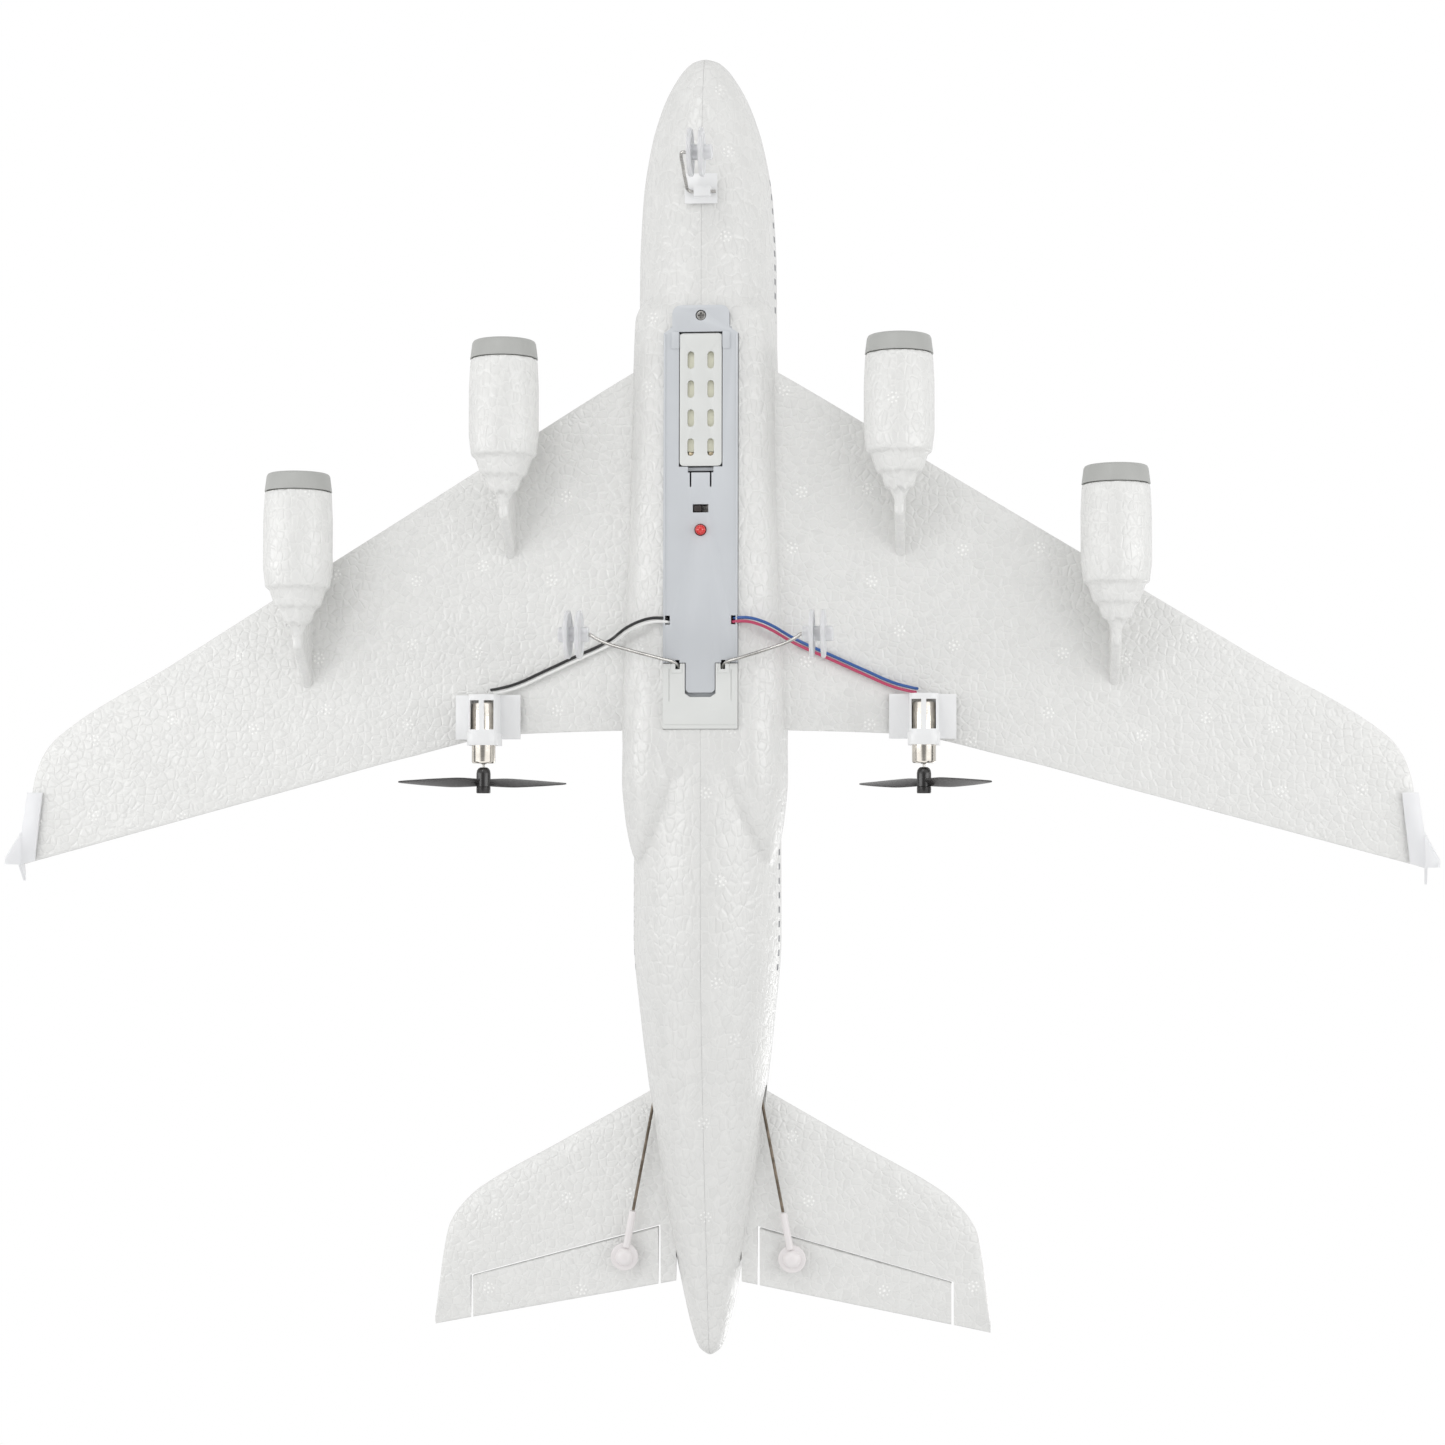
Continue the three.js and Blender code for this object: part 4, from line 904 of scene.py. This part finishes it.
class PIECES_OT_nacelles(bpy.types.Operator):
    """Turns the four dummy engines, their pylons and the grey rings on their intakes"""
    bl_idname = "airliner.nacelles"
    bl_label = "Nacelles"

    def execute(self, context):
        foam = context.scene.foam_settings
        r = NACELLE_RADIUS
        for place, (x, front) in NACELLES.items():
            roof = WING_ROOT[1] + (x - WING_ROOT[0]) * SLOPE
            axis_z = roof - NACELLE_DROP
            start = RING_LENGTH + CLEARANCE
            shell = spun([
                (0, 38), (r - 4, 33), (r - 2.4, start), (r - 0.5, start), (r, 17), (r, 34), (r - 0.9, 41.5),
                (r - 2.2, 41.7), (r - 4.4, 48.4), (r - 5.8, 48.6), (r - 7.6, 54), (r - 9, 54.2),
                (1.2, NACELLE_LENGTH), (0, NACELLE_LENGTH),
            ], "y", 96, (x, front, axis_z))
            back = front + NACELLE_LENGTH
            for rib in (-1, 1):
                strake = slab([(front + 40, axis_z - r + 1.6), (front + 40, axis_z), (back - 3, axis_z),
                               (back - 5, axis_z - 4.6)], x + rib * 1.9 - 0.35, x + rib * 1.9 + 0.35)
                combine(shell, strake, "UNION")
            pylon = slab([
                (front + 15, axis_z + r - 2), (front + 33, roof + 1.6), (back + 18, roof + 1.6),
                (back + 3, axis_z - 1), (back - 8, axis_z - 1), (front + 44, axis_z + 5),
            ], x - 1.8, x + 1.8)
            rounded(pylon, MM, 3)
            combine(shell, pylon, "UNION")
            resurfaced(shell, foam.fine_grid, 4)
            ring = spun([
                (r - 2, 0), (r - 1.5, 0.25), (r - 1.1, 1.0), (r - 0.4, RING_LENGTH), (r - 2.4, RING_LENGTH),
                (r - 2.4, 0.9), (r - 2.3, 0.25), (r - 2, 0),
            ], "y", 96, (x, front, axis_z))
            for made, name, slot, look, node in (
                (shell, "nacelle_skin", "foam_white", "nacelle", "nacelle"),
                (ring, "intake_lip", "ring_grey", "ring", "intake_ring"),
            ):
                finish_pair(made, f"{name}_{place}", "airframe", look, f"{node}_{place}", 40)
        return {"FINISHED"}


# ---- operators: plastic parts
class PIECES_OT_mouldings(bpy.types.Operator):
    """Rounds the edges of the tray's door, the motor clamps and the other small mouldings"""
    bl_idname = "airliner.mouldings"
    bl_label = "Small Mouldings"

    def execute(self, context):
        edge = context.scene.plastic_settings.edge
        for node, name, body, slot, look, width in (
            ("battery_door", "door_moulding", "battery_door", "tray_plastic", "door", 1),
            ("tip_fence_{}", "fence_{}", "airframe", "frosted_plastic", "frosted", 0.8),
            ("motor_mount_{}", "mount_{}", "airframe", "tray_plastic", "mount", 1),
            ("nose_gear_bracket", "nose_bracket", "airframe", "tray_plastic", "mount", 1),
            ("elevator_horn_{}", "horn_{}", "elevator_{}", "tray_plastic", "link", 0.5),
            ("servo", "servo_case", "airframe", "servo_blue", "servo", 1),
            ("servo_arm", "servo_lever", "servo_arm", "servo_arm_white", "arm", 0.5),
            ("receiver_board", "board_and_parts", "airframe", "board_green", "board", 0.3),
            ("switch_housing", "switch_case", "airframe", "bare_steel", "pressing", 0.6),
            ("switch_slider", "switch_knob", "switch_slider", "dark_plastic", "dark", 0.6),
            ("nose_ballast", "ballast_slug", "airframe", "bare_steel", "pressing", 1),
        ):
            for side in ("left", "right") if "{}" in node else ("",):
                part = node.format(side)
                finish(refined(part, edge * width), name.format(side), body.format(side), look, [part])
        return {"FINISHED"}


def beside(sign, x0, x1, y0, y1, z0, z1):
    """The two corners of a block on one side of the centre plane."""
    xs = sorted((sign * x0, sign * x1))
    return (xs[0], y0, z0), (xs[1], y1, z1)


class PIECES_OT_belly(bpy.types.Operator):
    """Finishes the belly tray with its rims and ears, the clamp, the cell and its contacts"""
    bl_idname = "airliner.belly"
    bl_label = "Belly Tray"

    def execute(self, context):
        edge = context.scene.plastic_settings.edge
        low, high = frame_box("chassis_tray")
        clamp_low, clamp_high = frame_box("gear_clamp")
        side, floor, seat = high.x, low.z, low.z + 1.7
        filled, cut = [], []
        for sign in (1, -1):
            filled.append(beside(sign, 7.2, 12.2, -17.2, -15.2, floor, seat))
            filled.append(beside(sign, side - 0.7, side - 0.1, -132.6, -15.3, floor - 0.35, floor + 0.5))
            filled.append(beside(sign, 7.9, 10.4, -133.4, -127.4, floor - 0.45, floor + 0.5))
            cut.append(beside(sign, 7.4, 8.9, -16.2, -15, floor - 1, seat + 1))
        filled.append(((-6.4, -18.9, seat + 0.45), (6.4, -2, seat + 0.95)))
        tray = refined("chassis_tray", edge * 0.7, filled=filled, cut=cut)
        finish(tray, "tray_moulding", "airframe", "tray", ["chassis_tray"])
        plate = clamp_low.z
        filled, cut = [], []
        for sign in (1, -1):
            filled.append(beside(sign, 6.1, 10.8, clamp_low.y, -11, plate, plate + 2.4))
            cut.append(beside(sign, 7.2, 8.9, clamp_low.y - 1, -12.9, plate - 1, plate + 4))
            cut.append(beside(sign, 10.9, 11.2, clamp_low.y + 2, -1.5, plate - 1, plate + 0.3))
        cut.append(((-side - 1, clamp_high.y - 1.6, plate - 1), (side + 1, clamp_high.y + 1, plate + 0.35)))
        clamp = refined("gear_clamp", edge * 1.2, filled=filled, cut=cut)
        finish(clamp, "clamp_moulding", "airframe", "door", ["gear_clamp"])
        cell = refined("battery", edge * 4)
        pad = rounded(block((-6.7, -127.6, 28.75), (6.7, -90.6, 31)), edge, 2)
        combine(cell, pad, "UNION")
        finish(cell, "battery_cell", "airframe", "battery", ["battery"])
        hook = slab([
            (-90.4, 28.95), (-87.2, 28.95), (-87.2, 34), (-86.8, 34), (-86.8, 28.55), (-90.4, 28.55),
        ], 2.7, 4.4)
        rounded(hook, edge * 0.3)
        finish_pair(hook, "contact", "airframe", "contact", "battery_contact")
        return {"FINISHED"}


class PIECES_OT_lamp_and_screw(bpy.types.Operator):
    """Turns the status lamp's dome and the tray's screw"""
    bl_idname = "airliner.lamp_and_screw"
    bl_label = "Lamp and Screw"

    def execute(self, context):
        low, high = frame_box("status_led")
        y = (low.y + high.y) / 2
        r = 1.9
        dome = [(r * math.sin(a), low.z + r * (1 - math.cos(a))) for a in
                (i * math.pi / 24 for i in range(13))]
        flange = [(r, high.z - 0.8), (r + 0.4, high.z - 0.8), (r + 0.4, high.z), (0, high.z)]
        lamp = spun([*dome, *flange], "z", 40, (0, y, 0))
        finish(lamp, "status_lamp", "airframe", "led", ["status_led"])
        low, high = frame_box("tray_screw")
        y = (low.y + high.y) / 2
        screw = spun([
            (0, low.z), (1.3, low.z), (1.65, low.z + 0.15), (1.75, low.z + 0.4), (1.75, low.z + 1.2),
            (0.9, low.z + 1.4), (0.9, high.z - 1), (0, high.z),
        ], "z", 40, (0, y, 0))
        for half_x, half_y in ((1.1, 0.25), (0.25, 1.1)):
            slot = block((-half_x, y - half_y, low.z - 1), (half_x, y + half_y, low.z + 0.7))
            combine(screw, slot, "DIFFERENCE")
        finish(screw, "cross_screw", "airframe", "pressing", ["tray_screw"])
        return {"FINISHED"}


# ---- operators: motors
class PIECES_OT_motors(bpy.types.Operator):
    """Turns the motors' cans and shafts"""
    bl_idname = "airliner.motors"
    bl_label = "Motors"

    def execute(self, context):
        low, high = frame_box("motor_left")
        at = joint_at("propeller_left_spin")
        r = (high.x - low.x) / 2
        y0, y1 = low.y, high.y
        can = spun([
            (0, y0 + 0.6), (1.2, y0 + 0.6), (1.3, y0), (r - 0.5, y0), (r - 0.12, y0 + 0.12), (r, y0 + 0.5),
            (r, y1 - 0.9), (r - 0.1, y1 - 0.55), (r - 0.45, y1 - 0.25), (r - 1.2, y1 - 0.2), (1.3, y1 - 0.2),
            (1.1, y1), (0.8, y1), (0.7, y1 - 3), (0, y1 - 3),
        ], "y", 64, (at.x, 0, at.z))
        finish_pair(can, "can", "airframe", "can", "motor")
        low, high = frame_box("motor_shaft_left")
        shaft = spun([
            (0, low.y), (0.45, low.y), (0.5, low.y + 0.1), (0.5, high.y - 0.1), (0.45, high.y), (0, high.y),
        ], "y", 24, (at.x, 0, at.z))
        finish_pair(shaft, "shaft", "propeller_{}", "pressing", "motor_shaft")
        return {"FINISHED"}


# reach, chord, pitch in degrees, thickness of a propeller blade
BLADE = (
    (0.5, 3.6, 38, 1.4), (6, 5.4, 34, 1.1), (13, 7.2, 26, 0.9), (21, 6.6, 20, 0.8), (28, 4.6, 15, 0.7),
    (31.5, 2.4, 13, 0.6), (32.5, 0.8, 12, 0.5),
)
REST_TURN = {"left": 0.76, "right": 0.56}


def blade_section(row, turn, reach):
    distance, chord, pitch, thickness = row
    pitch = math.radians(pitch)
    along = math.cos(turn) * reach * chord / 2
    proud = math.sin(turn) * reach * thickness / 2
    sine, cosine = math.sin(pitch), math.cos(pitch)
    return distance, along * sine + proud * cosine, along * cosine - proud * sine


class PIECES_OT_propellers(bpy.types.Operator):
    """Lofts two blades on a turned hub, for each side"""
    bl_idname = "airliner.propellers"
    bl_label = "Propellers"

    def execute(self, context):
        at = joint_at("propeller_left_spin")
        for side in ("left", "right"):
            r = 2.55
            whole = spun([
                (0, -5.5), (1.3, -5.5), (1.9, -5.1), (2.35, -4.4), (r, -3.3), (r, 1.4), (r - 0.15, 1.55), (r, 1.7),
                (r, 3.5), (r - 0.2, 3.8), (0.9, 3.8), (0.9, -1.8), (0, -1.8),
            ], "y", 48)
            for half_turn in (0, math.pi):
                blade = lofted(BLADE, blade_section, 32, 40)
                blade.data.transform(Matrix.Rotation(half_turn, 4, "Y"))
                combine(whole, blade, "UNION")
            whole.data.transform(Matrix.Rotation(REST_TURN[side], 4, "Y"))
            whole.data.transform(Matrix.Translation(at * MM))
            if side == "right":
                left = whole
                whole = mirrored(left)
                bpy.data.objects.remove(left)
            finish(whole, f"airscrew_{side}", f"propeller_{side}", "smoke",
                   [f"propeller_{side}"], 40)
        return {"FINISHED"}


# ---- operators: landing gear
def twin_wheels(inner, outer, at):
    """Two thin discs on one hub, with a raised tread edge and a dished web."""
    r, hub, bore = 8.5, 2.7, 0.9

    def disc(middle):
        return [
            (hub, middle - 0.8), (hub + 0.4, middle - 0.55), (r - 1.7, middle - 0.4), (r - 1.2, middle - 0.75),
            (r - 0.3, middle - 0.75), (r, middle - 0.45), (r, middle + 0.45), (r - 0.3, middle + 0.75),
            (r - 1.2, middle + 0.75), (r - 1.7, middle + 0.4), (hub + 0.4, middle + 0.55), (hub, middle + 0.8),
        ]

    return spun([
        (bore, inner), (hub - 0.3, inner), (hub, inner + 0.3), *disc(-2), *disc(2), (hub, outer - 0.5),
        (hub - 0.5, outer), (0, outer), (0, outer - 1), (bore, outer - 1), (bore, inner),
    ], "x", 64, at)


class PIECES_OT_gear(bpy.types.Operator):
    """Bends the wires and turns the wheels of the landing gear"""
    bl_idname = "airliner.gear"
    bl_label = "Landing Gear"

    def execute(self, context):
        radius = context.scene.metal_settings.wire
        x, y, z = joint_at("main_wheels_left_spin")
        leg = [
            (x + 2.8, y, z), (x - 2, y, z), (x - 5.6, y, z), (x - 7.2, y + 1, z + 0.7),
            (x - 10, y + 2.4, z + 2.6), (25, -19.3, 16.2), (13.6, -16.5, 24.2), (9.4, -15.4, 26.6),
            (8, -14.2, 28.2), (8, -11, 30.1), (6.6, -8.6, 30.6),
        ]
        across = [*leg, (0, -8.4, 30.6), *[(-px, py, pz) for px, py, pz in reversed(leg)]]
        finish(wire(across, radius), "main_wire", "airframe", "wire", ["main_gear_wire"], 40)
        wheels = twin_wheels(-5.4, 5.4, (x, y, z))
        finish_pair(wheels, "wheels", "main_wheels_{}", "wheel", "main_wheels")
        x, y, z = joint_at("nose_wheels_spin")
        bar = 25.7
        route = [
            (5.4, -183.5, bar), (1, -183.5, bar), (-3, -183.5, bar), (-4.4, -184, bar - 0.6),
            (-4.9, -186, 22), (-5.3, -190.4, 14), (-5.4, y + 0.7, z + 1.4), (-5, y, z), (-3.6, y, z),
            (x + 3, y, z),
        ]
        finish(wire(route, radius), "nose_wire", "airframe", "wire", ["nose_gear_wire"], 40)
        finish(twin_wheels(-3.4, 5.8, (x, y, z)), "wheels_nose", "nose_wheels", "wheel",
               ["nose_wheels"])
        return {"FINISHED"}


# ---- operators: linkage and leads
class PIECES_OT_linkage(bpy.types.Operator):
    """Draws the pushrods and turns the domed ball links at their rear ends"""
    bl_idname = "airliner.linkage"
    bl_label = "Elevator Linkage"

    def execute(self, context):
        ball = joint_at("pushrod_left_ball")
        along = (ball - ROD_FRONT).normalized()
        stub = 17
        link = spun([
            (0, -2.6), (1.3, -2.55), (2.3, -2.1), (2.9, -1.4), (3.15, -0.6), (3.3, -0.4), (4.7, -0.4), (5, -0.1),
            (5, 0.6), (4.5, 1.05), (1.85, 1.1), (1.95, 0), (1.6, -1.2), (0.8, -1.8), (0, -1.9),
        ], "z", 56, ball)
        arm = wire([ball - along * stub, ball - along * 9, ball - along * 3.6], 1.3 * MM, 5, 1)
        combine(link, arm, "UNION")
        finish_pair(link, "link", "pushrod_{}", "link", "ball_link")
        rod = wire([ROD_FRONT, ball - along * (stub + CLEARANCE)], context.scene.metal_settings.rod, 5, 1)
        finish_pair(rod, "rod", "pushrod_{}", "rod", "pushrod")
        return {"FINISHED"}


class PIECES_OT_leads(bpy.types.Operator):
    """Lays the two motor leads on each side"""
    bl_idname = "airliner.leads"
    bl_label = "Motor Leads"

    def execute(self, context):
        radius = context.scene.lead_settings.radius
        for tint, side, shift in (("blue", 1, -1), ("red", 1, 1), ("black", -1, -1), ("white", -1, 1)):
            offset = Vector((-0.43, 0.9, 0)) * shift * LEAD_SPACING
            points = [Vector(point) + offset for point in LEAD_ROUTE]
            points = [Vector((side * p.x, p.y, p.z)) for p in points]
            lead = wire(points, radius, 4, 8)
            finish(lead, f"insulated_lead_{tint}", "airframe", tint, [f"lead_{tint}"], 50)
        return {"FINISHED"}


# ---- stage
CAMERA_AT = Vector((92.9, 47.2, -944.6)) * MM
CAMERA_TILT = math.radians(-2.415)  # about X
CAMERA_ROLL = math.radians(4.996)  # about Y
CAMERA_TURN = math.radians(0.081)  # about Z


class PIECES_OT_stage(bpy.types.Operator):
    """Sets the floor, the light and the camera, which looks up at the belly"""
    bl_idname = "airliner.stage"
    bl_label = "Stage"

    def execute(self, context):
        settings = context.scene.stage_settings
        self.floor(settings)
        self.room(context.scene, settings)
        self.softboxes(settings)
        self.camera(context.scene, settings)
        return {"FINISHED"}

    def floor(self, settings):
        """A pale floor that only shows from above and lets the light through from below."""
        deselect()
        bpy.ops.mesh.primitive_grid_add(x_subdivisions=4, y_subdivisions=4, size=12)
        floor = bpy.context.object
        floor.name = "studio_floor"
        material = bpy.data.materials.new("Studio floor")
        material.use_nodes = True
        tree = material.node_tree
        tree.nodes.clear()
        matte = put(tree, "BsdfDiffuse", {"Color": rgba(settings.floor)}).outputs[0]
        clear = put(tree, "BsdfTransparent").outputs[0]
        seen = put(tree, "LightPath").outputs["Is Camera Ray"]
        back = put(tree, "NewGeometry").outputs["Backfacing"]
        shows = math_node(tree, "MULTIPLY", seen, math_node(tree, "SUBTRACT", 1.0, back))
        mixed = put(tree, "MixShader", {0: shows, 1: clear, 2: matte}).outputs[0]
        put(tree, "OutputMaterial", {"Surface": mixed})
        floor.data.materials.append(material)

    def room(self, scene, settings):
        """White all round for the camera; the light falls off towards the horizon."""
        world = bpy.data.worlds.new("Studio")
        world.use_nodes = True
        tree = world.node_tree
        tree.nodes.clear()
        direction = put(tree, "TexCoord").outputs["Generated"]
        height = split(tree, direction)[2]
        below = remap(tree, height, -1.0, -0.25, 1.0, 0.0)
        above = remap(tree, height, 0.1, 0.9)
        level = math_node(tree, "MULTIPLY_ADD", above, -0.12, 1.0)
        level = math_node(tree, "MULTIPLY_ADD", below, -0.3, level)
        boxes = remap(tree, height, -0.97, -0.85, 0.3, 1.3)
        horizon = remap(tree, height, -0.35, -0.1, 0.0, 1.15)
        ceiling = remap(tree, height, 0.0, 0.3, 0.0, 0.6)
        glints = math_node(tree, "ADD", math_node(tree, "SUBTRACT", boxes, horizon), ceiling)
        ray = put(tree, "LightPath").outputs
        mixed = remap(tree, ray["Is Glossy Ray"], 0.0, 1.0, level, glints, smooth=False)
        light = math_node(tree, "MULTIPLY", mixed, settings.room)
        strength = remap(tree, ray["Is Camera Ray"], 0.0, 1.0, light, 1.0, smooth=False)
        glow = put(tree, "Background", {"Color": (1, 1, 1, 1), "Strength": strength}).outputs[0]
        put(tree, "OutputWorld", {"Surface": glow})
        scene.world = world

    def softboxes(self, settings):
        places = (
            ((-0.95, -0.1, -0.5), (0.25, 1.3), 1.0), ((0.95, -0.1, -0.5), (0.25, 1.3), 1.0),
            ((-0.25, -0.8, -0.8), (0.3, 0.3), 0.35), ((0.7, 0.5, 1.1), (0.7, 0.7), 0.8),
        )
        for spot, size, power in places:
            deselect()
            bpy.ops.object.light_add(type="AREA", location=spot)
            lamp = bpy.context.object
            lamp.data.shape = "RECTANGLE"
            lamp.data.size, lamp.data.size_y = size
            lamp.data.energy = settings.key * power
            lamp.rotation_euler = Vector(spot).to_track_quat("Z", "Y").to_euler()

    def camera(self, scene, settings):
        deselect()
        bpy.ops.object.camera_add(location=CAMERA_AT)
        camera = bpy.context.object
        turned = (Matrix.Rotation(CAMERA_TURN, 3, "Z") @ Matrix.Rotation(CAMERA_TILT, 3, "X")
                  @ Matrix.Rotation(CAMERA_ROLL, 3, "Y"))
        right, down, forward = turned[0], turned[1], turned[2]
        camera.rotation_euler = Matrix((right, -down, -forward)).transposed().to_euler()
        camera.data.lens = settings.lens
        camera.data.sensor_width = 36
        camera.data.clip_start = 0.01
        camera.data.clip_end = 50
        scene.camera = camera
        scene.view_settings.view_transform = "Standard"


class PIECES_PT_panel(bpy.types.Panel):
    """Lists every piece in the order it is made"""
    bl_idname = "PIECES_PT_airliner"
    bl_label = "Foam Airliner"
    bl_space_type = "VIEW_3D"
    bl_region_type = "UI"
    bl_category = "Airliner"

    def draw(self, context):
        for maker in MAKERS:
            self.layout.operator(maker.bl_idname)
        for name in SETTINGS:
            settings = getattr(context.scene, name)
            box = self.layout.box()
            for key in settings.__annotations__:
                box.prop(settings, key)


MAKERS = (
    PIECES_OT_stage, PIECES_OT_fuselage, PIECES_OT_wings, PIECES_OT_tail, PIECES_OT_nacelles,
    PIECES_OT_mouldings, PIECES_OT_belly, PIECES_OT_lamp_and_screw, PIECES_OT_motors, PIECES_OT_propellers,
    PIECES_OT_gear, PIECES_OT_linkage, PIECES_OT_leads,
)
SETTINGS = {
    "foam_settings": FoamSettings, "plastic_settings": PlasticSettings, "metal_settings": MetalSettings,
    "propeller_settings": PropellerSettings, "lead_settings": LeadSettings, "stage_settings": StageSettings,
}


def register():
    for made in (*SETTINGS.values(), *MAKERS, PIECES_PT_panel):
        bpy.utils.register_class(made)
    for name, kind in SETTINGS.items():
        setattr(bpy.types.Scene, name, PointerProperty(type=kind))


def unregister():
    for name in SETTINGS:
        delattr(bpy.types.Scene, name)
    for made in (PIECES_PT_panel, *reversed(MAKERS), *SETTINGS.values()):
        bpy.utils.unregister_class(made)


def main():
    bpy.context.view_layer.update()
    register()
    make_materials(bpy.context.scene)
    for maker in MAKERS:
        family, action = maker.bl_idname.split(".")
        getattr(getattr(bpy.ops, family), action)()


if __name__ == "__main__":
    main()
